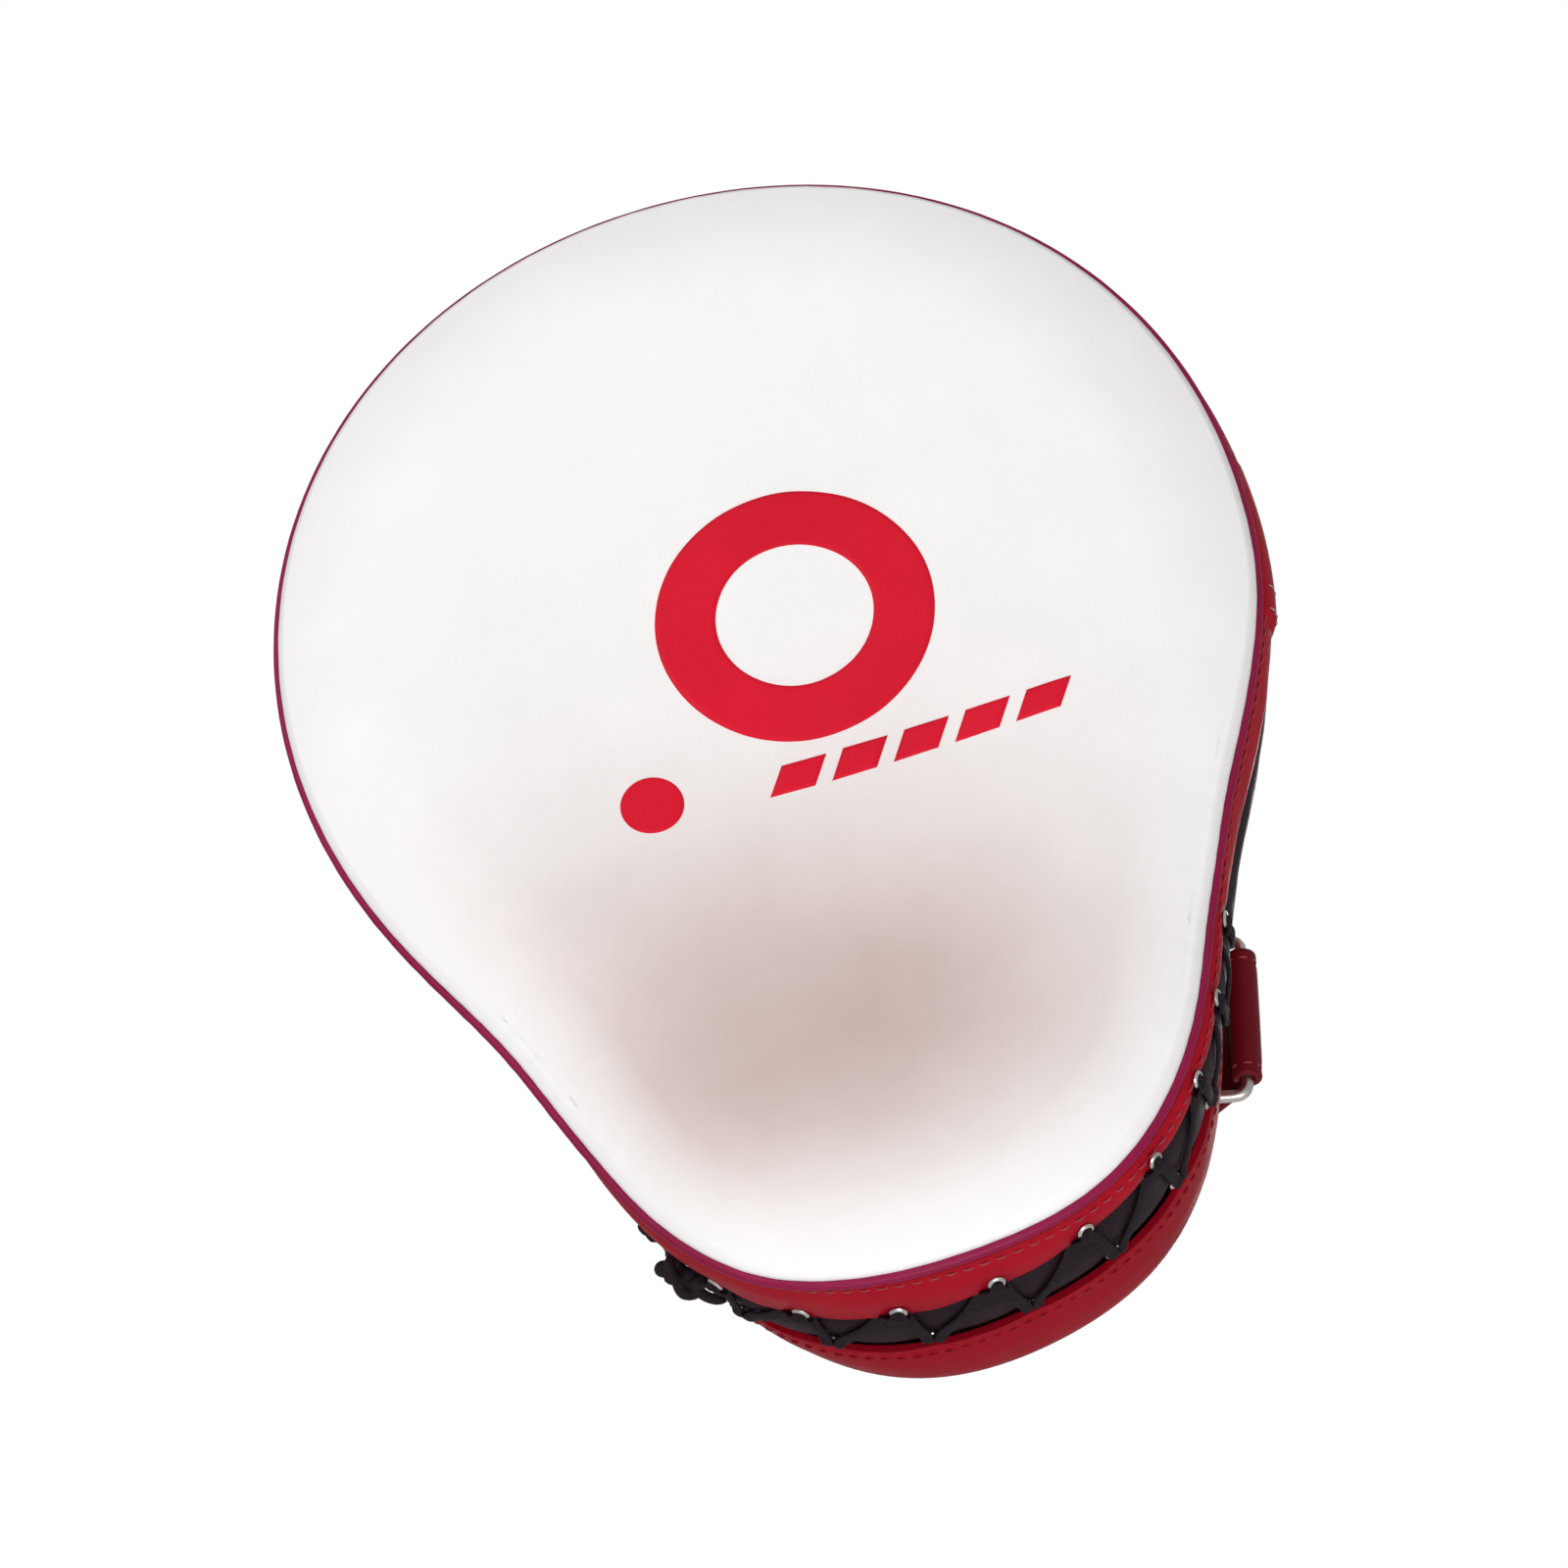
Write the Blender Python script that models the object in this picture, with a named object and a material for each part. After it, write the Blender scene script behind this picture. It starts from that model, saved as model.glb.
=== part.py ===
"""Laced punch mitt for the left hand: a curved striking pad laced to a padded back that holds the hand.

X runs across the mitt, +Y from the striking face towards the wearer, +Z up to the fingertips.
The origin is the middle of the palm cushion's flat top, where the palm bears.
Lengths below are millimetres; mesh points are written in metres.
"""
import math

import bmesh
import bpy
from mathutils import Matrix, Vector

MM = 0.001
GAP = 0.3

# Outline of the striking face, as a radius about OUTLINE_CENTRE_Z on the middle line.
MEAN_RADIUS = 111.7
FINGER_END_BIAS = 33.8
ELONGATION = 24.5
WRIST_TAPER = -3.4
FLANK_STRAIGHTENING = -1.1
SHOULDER_ROUNDING = -0.65
OUTLINE_CENTRE_Z = -30.0

# The mitt bends forward towards both ends. Behind the striking pad its flanks draw in and its two ends
# flare out with depth, and the whole side wall leans towards the strap's ring.
BEND = 0.0007
BEND_CENTRE_Z = -30.0
FLARE, FLANK_DRAW_IN, FLANK_DRAW_START = 0.05, 0.257, 12.0
SIDE_SHIFT, SIDE_SHIFT_START, SIDE_SHIFT_POWER = 4.7, 4.0, 0.4

# The strap's root pulls the back in at the wrist corner on the thumb side.
STRAP_PULL, STRAP_PULL_START = 7.0, 30.0
STRAP_PULL_ANGLE, STRAP_PULL_SPREAD = math.radians(-145), math.radians(20)

# Depths behind the rim of the face.
FACE_CROWN = 7.0
CROWN_EDGE = 30.0
DISH_DEPTH = 5.5
DISH_X, DISH_Z, DISH_RADIUS = 4.0, -38.0, 32.0
SKIN, TURNED_EDGE = 1.4, 2.2
PIPING_DEPTH, PIPING_RADIUS = 3.6, 1.25
GUSSET_FRONT = 5.2
BACK_SHOULDER, BACK_DEPTH = 44.0, 55.0
BACK_SKIN = 1.8
JOIN_START, JOIN_END = math.radians(57), math.radians(73.5)
JOIN_THICKNESS, JOIN_THICKENING = 0.5, 0.9

# Layers inside, as (front depth, back depth).
IMPACT_FOAM_BACK = 7.4
SHOCK_FOAM = (8.2, 13.1)
REBOUND_FOAM = (13.8, 18.6)
PAD_LINING = (19.3, 20.5)
BACK_FOAM = (20.9, 52.2)
IMPACT_INSET, FOAM_INSET, BACK_INSET = 4.2, 7.4, 8.6

# The black lacing band runs obliquely round the wrist end: its two edges lean with the angle.
BAND_FRONT, BAND_FRONT_LEAN = 17.0, 7.5
BAND_BACK, BAND_BACK_LEAN = 32.0, 3.2

# Marks on the face.
RING_X, RING_Z = 6.4, 23.2
RING_OUTER, RING_INNER = 29.6, 16.7
MARK_THICKNESS = 0.5
DISC_X, DISC_Z, DISC_RADIUS = -32.7, -11.9, 6.6
BAR_ROW_X, BAR_ROW_Z = 24.3, -13.3
BAR_COUNT, BAR_PITCH, BAR_LENGTH, BAR_HEIGHT, BAR_SLANT = 5, 13.2, 9.6, 6.4, 4.0

# Lacing round the wrist end.
EYELET_COUNT, EYELET_PITCH = 11, 20.0
EYELET_PHASE, EYELET_STAGGER = 5.3, 4.0
EYELET_MARGIN = 2.7
EYELET_OUTER, EYELET_INNER, EYELET_HEIGHT = 2.3, 1.3, 0.7
LACE_RADIUS = 0.8

# Hand side.
PALM_X, PALM_Z, PALM_TOP = 10.0, -18.0, 70.0
PALM_HALF_X, PALM_HALF_Z = 43.0, 25.5
WRIST_PAD_X, WRIST_PAD_Z, WRIST_PAD_HALF_X, WRIST_PAD_HALF_Z = 7.0, -98.0, 33.0, 12.0
LINER_Z, LINER_HALF_X, LINER_HALF_Z = 56.0, 42.0, 40.0
HOOD_X, HOOD_START_Z, HOOD_LENGTH = 17.0, 7.0, 102.0
HOOD_HALF_WIDTH, HOOD_HEIGHT, HOOD_WALL = 54.0, 40.0, 3.0
THUMB_X, THUMB_Z, THUMB_TILT = -55.0, -21.0, -12.0
THUMB_LENGTH, THUMB_HALF_WIDTH, THUMB_HEIGHT = 54.0, 19.5, 31.0

# Wrist strap and its metal ring.
STRAP_Z, STRAP_WIDTH, STRAP_THICKNESS = -59.0, 31.0, 1.6
STRAP_MIDDLE_X, STRAP_HALF_SPAN = 4.0, 61.0
STRAP_TILT = math.radians(13.6)
RING_PIVOT_X, RING_BAR_X, RING_Y = 65.0, 74.5, 58.4
RING_WIRE = 1.3
RING_HALF_HEIGHT = 19.0
TAB_THICKNESS, PATCH_THICKNESS, TAPE_THICKNESS = 1.4, 1.2, 1.0
LOOP_START_X, LOOP_END_X = -14.0, 45.0
HOOK_START_X, HOOK_END_X = -6.0, 38.0
WRAP_START, WRAP_END = 165, 450

AROUND = 48
HIDDEN_AROUND = 32


# ---------------------------------------------------------------- shape of the mitt

def outline(theta):
    """Radius of the face outline at an angle measured from +Z towards +X."""
    return (MEAN_RADIUS + FINGER_END_BIAS * math.cos(theta) + ELONGATION * math.cos(2 * theta)
            + WRIST_TAPER * math.cos(3 * theta) + FLANK_STRAIGHTENING * math.cos(4 * theta)
            + SHOULDER_ROUNDING * math.cos(6 * theta))


def bend(z):
    """Depth of the rim of the face at a height."""
    return -BEND * (z - BEND_CENTRE_Z) ** 2


def world(x, y, z):
    """Design millimetres to metres about the palm origin."""
    return Vector((x - PALM_X, y - PALM_TOP, z - PALM_Z)) * MM


def on_mitt(x, z, depth):
    """A point at a depth behind the rim surface."""
    shift = SIDE_SHIFT * (max(depth - SIDE_SHIFT_START, 0) / (BACK_DEPTH - SIDE_SHIFT_START)) ** SIDE_SHIFT_POWER
    return world(x + shift, bend(z) + depth, z)


def rim_point(theta, scale, inset, depth):
    """A point on the outline, shrunk by a scale and then an inset, at a depth."""
    flank = 1 - math.cos(theta) ** 6
    drawn_in = FLANK_DRAW_IN * flank * max(depth - FLANK_DRAW_START, 0) - FLARE * max(depth, 0)
    away = math.remainder(theta - STRAP_PULL_ANGLE, 2 * math.pi) / STRAP_PULL_SPREAD
    pull = STRAP_PULL * max(depth - STRAP_PULL_START, 0) / (BACK_DEPTH - STRAP_PULL_START)
    drawn_in += pull * math.exp(-away * away)
    radius = outline(theta) * scale - inset - drawn_in
    return on_mitt(radius * math.sin(theta), OUTLINE_CENTRE_Z + radius * math.cos(theta), depth)


def band_edges(theta):
    """Depths of the lacing band's front and back edges."""
    lean = math.sin(2 * theta) * math.sqrt(max(-math.cos(theta), 0))
    return BAND_FRONT + BAND_FRONT_LEAN * lean, BAND_BACK + BAND_BACK_LEAN * lean


def between(start, end, share):
    return start + (end - start) * share


def dish(x, z):
    """Extra depth of the hollow that palm-heel strikes leave low on the face."""
    away = ((x - DISH_X) ** 2 + (z - DISH_Z) ** 2) / (2 * DISH_RADIUS ** 2)
    return DISH_DEPTH * math.exp(-away)


def face_depth(x, z):
    """Depth of the outer face surface, crowned at its edge and dished low down."""
    radius = math.hypot(x, z - OUTLINE_CENTRE_Z)
    edge = outline(math.atan2(x, z - OUTLINE_CENTRE_Z)) - radius
    rise = 1 - min(max(edge / CROWN_EDGE, 0), 1)
    fill = 1 - rise * rise
    return -FACE_CROWN * fill + dish(x, z) * fill


def arc_table():
    """Angles and arc lengths along the outline, counted from the wrist end towards +X."""
    steps = 720
    table = [(math.pi, 0.0)]
    for index in range(1, steps + 1):
        theta = math.pi - math.pi * index / steps
        before = table[-1][0]
        ax, az = outline(before) * math.sin(before), outline(before) * math.cos(before)
        bx, bz = outline(theta) * math.sin(theta), outline(theta) * math.cos(theta)
        table.append((theta, table[-1][1] + math.hypot(bx - ax, bz - az)))
    return table


ARC = arc_table()


def theta_at(arc):
    """Outline angle at a signed arc length from the wrist end, positive towards +X."""
    target = abs(arc)
    for (theta_a, arc_a), (theta_b, arc_b) in zip(ARC, ARC[1:]):
        if arc_b >= target:
            theta = theta_a + (theta_b - theta_a) * (target - arc_a) / (arc_b - arc_a)
            return theta if arc >= 0 else 2 * math.pi - theta
    return 0.0


# ---------------------------------------------------------------- materials and objects

def material(name, color, roughness, metallic=0.0):
    shade = bpy.data.materials.new(name)
    shade.use_nodes = True
    bsdf = shade.node_tree.nodes["Principled BSDF"]
    bsdf.inputs["Base Color"].default_value = (*color, 1.0)
    bsdf.inputs["Roughness"].default_value = roughness
    bsdf.inputs["Metallic"].default_value = metallic
    return shade


WHITE = ((0.93, 0.92, 0.91), 0.45)
RED = ((0.35, 0.009, 0.022), 0.42)
RING_RED = ((0.60, 0.010, 0.030), 0.40)
CRIMSON = ((0.40, 0.012, 0.090), 0.40)
BLACK = ((0.020, 0.013, 0.018), 0.50)
LINER = ((0.030, 0.028, 0.030), 0.85)
FOAM = ((0.55, 0.53, 0.45), 0.90)
DARK_FOAM = ((0.12, 0.12, 0.13), 0.90)
NICKEL = ((0.75, 0.74, 0.72), 0.25, 1.0)


def make_object(name, mesh_builder, finish, smooth_angle=40.0):
    """Close a bmesh into a named object with its own material."""
    bmesh.ops.recalc_face_normals(mesh_builder, faces=mesh_builder.faces)
    mesh = bpy.data.meshes.new(name)
    mesh_builder.to_mesh(mesh)
    mesh_builder.free()
    mesh.shade_smooth()
    mesh.set_sharp_from_angle(angle=math.radians(smooth_angle))
    mesh.materials.append(material(name, *finish))
    built = bpy.data.objects.new(name, mesh)
    bpy.context.scene.collection.objects.link(built)
    return built


def set_origin(built, point, axis_angle=0.0):
    """Put an object's origin on its joint's axis without moving its mesh."""
    frame = Matrix.Translation(point) @ Matrix.Rotation(axis_angle, 4, "Y")
    built.data.transform(frame.inverted())
    built.matrix_world = frame


# ---------------------------------------------------------------- solid builders

def bridge(builder, first, second):
    """Quads between two closed rings of vertices."""
    count = len(first)
    for i in range(count):
        j = (i + 1) % count
        builder.faces.new((first[i], first[j], second[j], second[i]))


def close_with_point(builder, ring, point):
    tip = builder.verts.new(point)
    for i in range(len(ring)):
        builder.faces.new((ring[i], ring[(i + 1) % len(ring)], tip))


def ring_stack(name, finish, rings, start, end, smooth_angle=40.0):
    """A closed solid through a stack of rings, ending in a point at each end."""
    builder = bmesh.new()
    made = [[builder.verts.new(point) for point in ring] for ring in rings]
    close_with_point(builder, made[0], start)
    for first, second in zip(made, made[1:]):
        bridge(builder, first, second)
    close_with_point(builder, made[-1], end)
    return make_object(name, builder, finish, smooth_angle)


def band(name, finish, section_at, around=AROUND):
    """A section of (inset, depth) points, given for each angle, swept once round the outline."""
    builder = bmesh.new()
    rings = []
    for i in range(around):
        theta = 2 * math.pi * i / around
        rings.append([builder.verts.new(rim_point(theta, 1.0, inset, depth))
                      for inset, depth in section_at(theta)])
    for i in range(around):
        bridge(builder, rings[i], rings[(i + 1) % around])
    return make_object(name, builder, finish)


def swept_section(name, finish, sections, closed=False):
    """Quads through a run of equal sections, capped at both ends unless the run is closed."""
    builder = bmesh.new()
    rings = [[builder.verts.new(point) for point in section] for section in sections]
    for first, second in zip(rings, rings[1:]):
        bridge(builder, first, second)
    if closed:
        bridge(builder, rings[-1], rings[0])
    else:
        builder.faces.new(rings[0])
        builder.faces.new(rings[-1])
    return make_object(name, builder, finish)


def face_ring(inset, scale, offset, around):
    """A ring of points at an offset behind the outer face surface."""
    points = []
    for i in range(around):
        theta = 2 * math.pi * i / around
        radius = outline(theta) * scale - inset
        x, z = radius * math.sin(theta), OUTLINE_CENTRE_Z + radius * math.cos(theta)
        points.append(on_mitt(x, z, face_depth(x, z) + offset))
    return points


def flat_ring(inset, scale, depth, around):
    return [rim_point(2 * math.pi * i / around, scale, inset, depth) for i in range(around)]


FACE_STEPS = ((0, 0.1), (0, 0.2), (0, 0.3), (0, 0.4), (0, 0.5), (0, 0.61),
              (CROWN_EDGE, 1.0), (18, 1.0), (10, 1.0), (4.5, 1.0))


def face_surface(offset, around, lowest_inset):
    """Rings of the face surface from its middle out to an inset."""
    rings = [face_ring(inset, scale, offset, around) for inset, scale in FACE_STEPS]
    rings.append(face_ring(lowest_inset, 1.0, offset, around))
    return rings


def face_middle(offset):
    return on_mitt(0, OUTLINE_CENTRE_Z, face_depth(0, OUTLINE_CENTRE_Z) + offset)


# ---------------------------------------------------------------- striking pad

def make_face_cover():
    outer = face_surface(0, AROUND, 0.0) + [flat_ring(0, 1.0, TURNED_EDGE, AROUND)]
    inner = [flat_ring(SKIN, 1.0, TURNED_EDGE, AROUND)] + face_surface(SKIN, AROUND, 2.0)[::-1]
    ring_stack("face_cover", WHITE, outer + inner, face_middle(0), face_middle(SKIN))


def make_target_ring():
    steps = 40
    builder = bmesh.new()
    rings = []
    for i in range(steps):
        angle = 2 * math.pi * i / steps
        section = []
        for radius, height in ((RING_INNER, GAP), ((RING_INNER + RING_OUTER) / 2, GAP), (RING_OUTER, GAP),
                               (RING_OUTER, GAP + MARK_THICKNESS),
                               ((RING_INNER + RING_OUTER) / 2, GAP + MARK_THICKNESS),
                               (RING_INNER, GAP + MARK_THICKNESS)):
            x, z = RING_X + radius * math.sin(angle), RING_Z + radius * math.cos(angle)
            section.append(builder.verts.new(on_mitt(x, z, face_depth(x, z) - height)))
        rings.append(section)
    for i in range(steps):
        bridge(builder, rings[i], rings[(i + 1) % steps])
    make_object("target_ring", builder, RING_RED)


def mark_prism(name, points):
    """A thin mark on the face with the given (x, z) outline."""
    builder = bmesh.new()
    low = [builder.verts.new(on_mitt(x, z, face_depth(x, z) - GAP)) for x, z in points]
    high = [builder.verts.new(on_mitt(x, z, face_depth(x, z) - GAP - MARK_THICKNESS)) for x, z in points]
    bridge(builder, low, high)
    builder.faces.new(low)
    builder.faces.new(high)
    make_object(name, builder, RING_RED)


def make_accent_marks():
    steps = 20
    angles = [2 * math.pi * i / steps for i in range(steps)]
    mark_prism("accent_disc", [(DISC_X + DISC_RADIUS * math.sin(angle), DISC_Z + DISC_RADIUS * math.cos(angle))
                               for angle in angles])
    for index in range(BAR_COUNT):
        x = BAR_ROW_X + (index - (BAR_COUNT - 1) / 2) * BAR_PITCH
        half, tall, slant = BAR_LENGTH / 2, BAR_HEIGHT / 2, BAR_SLANT / 2
        corners = [(x - half - slant, BAR_ROW_Z - tall), (x + half - slant, BAR_ROW_Z - tall),
                   (x + half + slant, BAR_ROW_Z + tall), (x - half + slant, BAR_ROW_Z + tall)]
        mark_prism(f"accent_bar_{index + 1}", corners)


def make_piping():
    sides = 8
    section = [(-0.1 - PIPING_RADIUS * math.cos(2 * math.pi * i / sides),
                PIPING_DEPTH + PIPING_RADIUS * math.sin(2 * math.pi * i / sides)) for i in range(sides)]
    band("face_piping", CRIMSON, lambda theta: section)


def make_front_gusset():
    """The side wall of the striking pad, from the piping back to the lacing band."""
    outer = ((0.6, 0.0), (-0.5, 0.2), (-0.9, 0.53), (-0.5, 0.82), (0.4, 1.0))
    inner = ((2.0, 1.0), (1.6, 0.5), (2.2, 0.0))

    def section_at(theta):
        end = band_edges(theta)[0] - GAP / 2
        return [(inset, between(GUSSET_FRONT, end, share)) for inset, share in outer + inner]
    band("front_gusset", RED, section_at)


def make_gusset_join():
    """The thick overlap where the gusset strip's two ends are sewn together, on the ring side."""
    steps = 8
    sections = []
    for i in range(steps + 1):
        share = i / steps
        theta = between(JOIN_START, JOIN_END, share)
        thick = JOIN_THICKNESS + JOIN_THICKENING * share
        inner = ((-0.8, 6.8), (-1.3, 11.0), (-0.8, 15.4))
        outer = ((-0.6 - thick, 14.8), (-1.3 - thick, 11.0), (-0.6 - thick, 7.4))
        sections.append([rim_point(theta, 1.0, inset, depth) for inset, depth in inner + outer])
    swept_section("gusset_join", RED, sections)


def bent_plate(depth, inset, around=HIDDEN_AROUND):
    """Rings of a bent plate at one depth, from its middle out to an inset."""
    return [flat_ring(0, scale, depth, around) for scale in (0.3, 0.54, 0.74)] + [flat_ring(inset, 1.0, depth, around)]


def plate_middle(depth):
    return on_mitt(0, OUTLINE_CENTRE_Z, depth)


def bent_slab(name, finish, front, back, inset):
    """A layer of even thickness between two depths."""
    ring_stack(name, finish, bent_plate(front, inset) + bent_plate(back, inset)[::-1],
               plate_middle(front), plate_middle(back))


def make_pad_foams():
    clear = SKIN + 2 * GAP
    front = face_surface(clear, HIDDEN_AROUND, 6.0)[:-2]
    front += [face_ring(6.0, 1.0, clear, HIDDEN_AROUND), flat_ring(IMPACT_INSET, 1.0, 3.0, HIDDEN_AROUND)]
    ring_stack("impact_foam", FOAM, front + bent_plate(IMPACT_FOAM_BACK, IMPACT_INSET)[::-1],
               face_middle(clear), plate_middle(IMPACT_FOAM_BACK))
    bent_slab("shock_foam", DARK_FOAM, *SHOCK_FOAM, FOAM_INSET)
    bent_slab("rebound_foam", FOAM, *REBOUND_FOAM, FOAM_INSET)


# ---------------------------------------------------------------- lacing

def make_welt():
    """The padded black band that the lace crosses."""
    outer = ((2.4, 0.0), (0.9, 0.16), (0.1, 0.5), (0.9, 0.84), (2.4, 1.0))
    inner = ((6.5, 1.0), (6.5, 0.0))

    def section_at(theta):
        front, back = band_edges(theta)
        return [(inset, between(front + GAP / 2, back - GAP / 2, share)) for inset, share in outer + inner]
    band("lacing_welt", BLACK, section_at)


def eyelet_frame(theta, depth, surface_inset):
    """Place and outward direction of the side wall at an angle and depth."""
    base = rim_point(theta, 1.0, surface_inset, depth)
    along = rim_point(theta + 0.01, 1.0, surface_inset, depth) - base
    deeper = rim_point(theta, 1.0, surface_inset, depth + 1) - base
    outward = deeper.cross(along).normalized()
    if outward.dot(base - world(0, PALM_TOP, OUTLINE_CENTRE_Z)) < 0:
        outward.negate()
    return base, outward


def front_eyelet(index):
    theta = theta_at((index - (EYELET_COUNT - 1) / 2) * EYELET_PITCH + EYELET_PHASE)
    return eyelet_frame(theta, band_edges(theta)[0] - EYELET_MARGIN, -0.95)


def back_eyelet(index):
    theta = theta_at((index - (EYELET_COUNT - 1) / 2) * EYELET_PITCH + EYELET_PHASE + EYELET_STAGGER)
    return eyelet_frame(theta, band_edges(theta)[1] - EYELET_MARGIN, 0.3)


def make_eyelet(name, base, outward):
    steps = 10
    lift = GAP * 1.4
    profile = ((EYELET_INNER, lift), (EYELET_OUTER, lift), (EYELET_OUTER - 0.4, lift + EYELET_HEIGHT * 0.8),
               (EYELET_INNER + 0.3, lift + EYELET_HEIGHT))
    turn = outward.to_track_quat("Z", "Y").to_matrix()
    sections = []
    for i in range(steps):
        angle = 2 * math.pi * i / steps
        sections.append([base + turn @ (Vector((radius * math.cos(angle), radius * math.sin(angle), height)) * MM)
                         for radius, height in profile])
    swept_section(name, NICKEL, sections, closed=True)


def make_eyelets():
    for index in range(EYELET_COUNT):
        make_eyelet(f"front_eyelet_{index + 1:02d}", *front_eyelet(index))
        make_eyelet(f"back_eyelet_{index + 1:02d}", *back_eyelet(index))


def make_lace():
    """One lace zigzagging over the welt from eyelet to eyelet."""
    seat = GAP * 1.4 + LACE_RADIUS + 0.5
    clear = GAP * 1.4 + EYELET_HEIGHT + LACE_RADIUS + 0.8
    middle = clear - 0.3
    stops = []
    for index in range(EYELET_COUNT):
        stops += [front_eyelet(index), back_eyelet(index)]
    points = []
    for (base_a, out_a), (base_b, out_b) in zip(stops, stops[1:]):
        points.append(base_a + out_a * seat * MM)
        step = (base_b - base_a).normalized() * EYELET_OUTER * MM
        points.append(base_a + step + out_a * clear * MM)
        points.append((base_a + base_b) / 2 + (out_a + out_b).normalized() * middle * MM)
        points.append(base_b - step + out_b * clear * MM)
    points.append(stops[-1][0] + stops[-1][1] * seat * MM)
    curve = bpy.data.curves.new("wrist_lace", "CURVE")
    curve.dimensions = "3D"
    curve.bevel_depth = LACE_RADIUS * MM
    curve.bevel_resolution = 2
    curve.use_fill_caps = True
    spline = curve.splines.new("POLY")
    spline.points.add(len(points) - 1)
    for slot, point in zip(spline.points, points):
        slot.co = (*point, 1.0)
    curve.materials.append(material("wrist_lace", *BLACK))
    bpy.context.scene.collection.objects.link(bpy.data.objects.new("wrist_lace", curve))


# ---------------------------------------------------------------- back of the mitt

def back_wall_ring(inset, share):
    """A ring of the back's side wall, between the lacing band and the shoulder."""
    points = []
    for i in range(AROUND):
        theta = 2 * math.pi * i / AROUND
        start = band_edges(theta)[1] + GAP / 2
        points.append(rim_point(theta, 1.0, inset, between(start, BACK_SHOULDER, share)))
    return points


def make_back():
    wall = ((-0.6, 0.0), (-1.2, 0.45), (-0.8, 1.0))
    lid = ((1.6, 49.5, 0.4), (6.0, 53.2, 0.7), (12.0, 54.7, 1.0), (19.0, BACK_DEPTH, 1.0))
    outer = [back_wall_ring(inset, share) for inset, share in wall]
    outer += [flat_ring(inset, 1.0, depth, AROUND) for inset, depth, _ in lid]
    outer += [flat_ring(0, scale, BACK_DEPTH, AROUND) for scale in (0.54, 0.3)]
    inner = [flat_ring(0, scale, BACK_DEPTH - BACK_SKIN, AROUND) for scale in (0.3, 0.54)]
    inner += [flat_ring(inset + BACK_SKIN, 1.0, depth - BACK_SKIN * part, AROUND) for inset, depth, part in lid[::-1]]
    inner += [back_wall_ring(inset + BACK_SKIN, share) for inset, share in wall[::-1]]
    middle_in = on_mitt(0, OUTLINE_CENTRE_Z, BACK_DEPTH - BACK_SKIN)
    middle_out = on_mitt(0, OUTLINE_CENTRE_Z, BACK_DEPTH)
    builder = bmesh.new()
    outer_made = [[builder.verts.new(point) for point in ring] for ring in outer]
    inner_made = [[builder.verts.new(point) for point in ring] for ring in inner]
    close_with_point(builder, outer_made[-1], middle_out)
    for first, second in zip(outer_made, outer_made[1:]):
        bridge(builder, first, second)
    bridge(builder, inner_made[-1], outer_made[0])
    for first, second in zip(inner_made, inner_made[1:]):
        bridge(builder, first, second)
    close_with_point(builder, inner_made[0], middle_in)
    make_object("back_cover", builder, RED)


def make_back_filling():
    bent_slab("front_pad_lining", LINER, *PAD_LINING, BACK_INSET)
    front, back = BACK_FOAM
    sides = [flat_ring(BACK_INSET, 1.0, 45.0, HIDDEN_AROUND), flat_ring(13.0, 1.0, 50.2, HIDDEN_AROUND)]
    ring_stack("back_foam", FOAM, bent_plate(front, BACK_INSET) + sides + bent_plate(back, 21.0)[::-1],
               plate_middle(front), plate_middle(back))


def on_back(x, z, height):
    """A point at a height above the back panel."""
    return world(x, bend(z) + BACK_DEPTH + height, z)


def cushion(name, finish, x, z, half_x, half_z, profile, flat_top=None, around=32):
    """A rounded cushion on the back panel. profile rows are (size, height)."""
    rings = []
    for size, height in profile:
        ring = []
        for i in range(around):
            angle = 2 * math.pi * i / around
            px, pz = x + half_x * size * math.sin(angle), z + half_z * size * math.cos(angle)
            point = on_back(px, pz, height)
            if flat_top is not None and height >= profile[-1][1]:
                point = world(px, flat_top, pz)
            ring.append(point)
        rings.append(ring)
    top = world(x, flat_top, z) if flat_top is not None else on_back(x, z, profile[-1][1])
    return ring_stack(name, finish, rings, on_back(x, z, profile[0][1]), top)


def make_cushions():
    cushion("palm_cushion", BLACK, PALM_X, PALM_Z, PALM_HALF_X, PALM_HALF_Z,
            ((0.96, GAP), (1.0, 3.0), (0.97, 8.0), (0.86, 12.5), (0.66, 15.04)), flat_top=PALM_TOP)
    cushion("wrist_pad", BLACK, WRIST_PAD_X, WRIST_PAD_Z, WRIST_PAD_HALF_X, WRIST_PAD_HALF_Z,
            ((0.94, GAP), (1.0, 2.5), (0.95, 7.0), (0.75, 10.0), (0.35, 11.2)))
    cushion("finger_liner", LINER, HOOD_X, LINER_Z, LINER_HALF_X, LINER_HALF_Z,
            ((0.5, GAP), (1.0, GAP), (1.0, 1.5), (0.5, 1.5)))


def arch_section(place, along, half_width, height, wall, steps):
    """Closed section of an arch: over its outside and back along its inside."""
    points = []
    for i in range(steps + 1):
        angle = math.pi * i / steps
        points.append(place(half_width * math.cos(angle), along, GAP + height * math.sin(angle)))
    for i in range(steps, -1, -1):
        angle = math.pi * i / steps
        points.append(place((half_width - wall) * math.cos(angle), along,
                            GAP + max(height - wall, 0.2) * math.sin(angle)))
    return points


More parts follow.
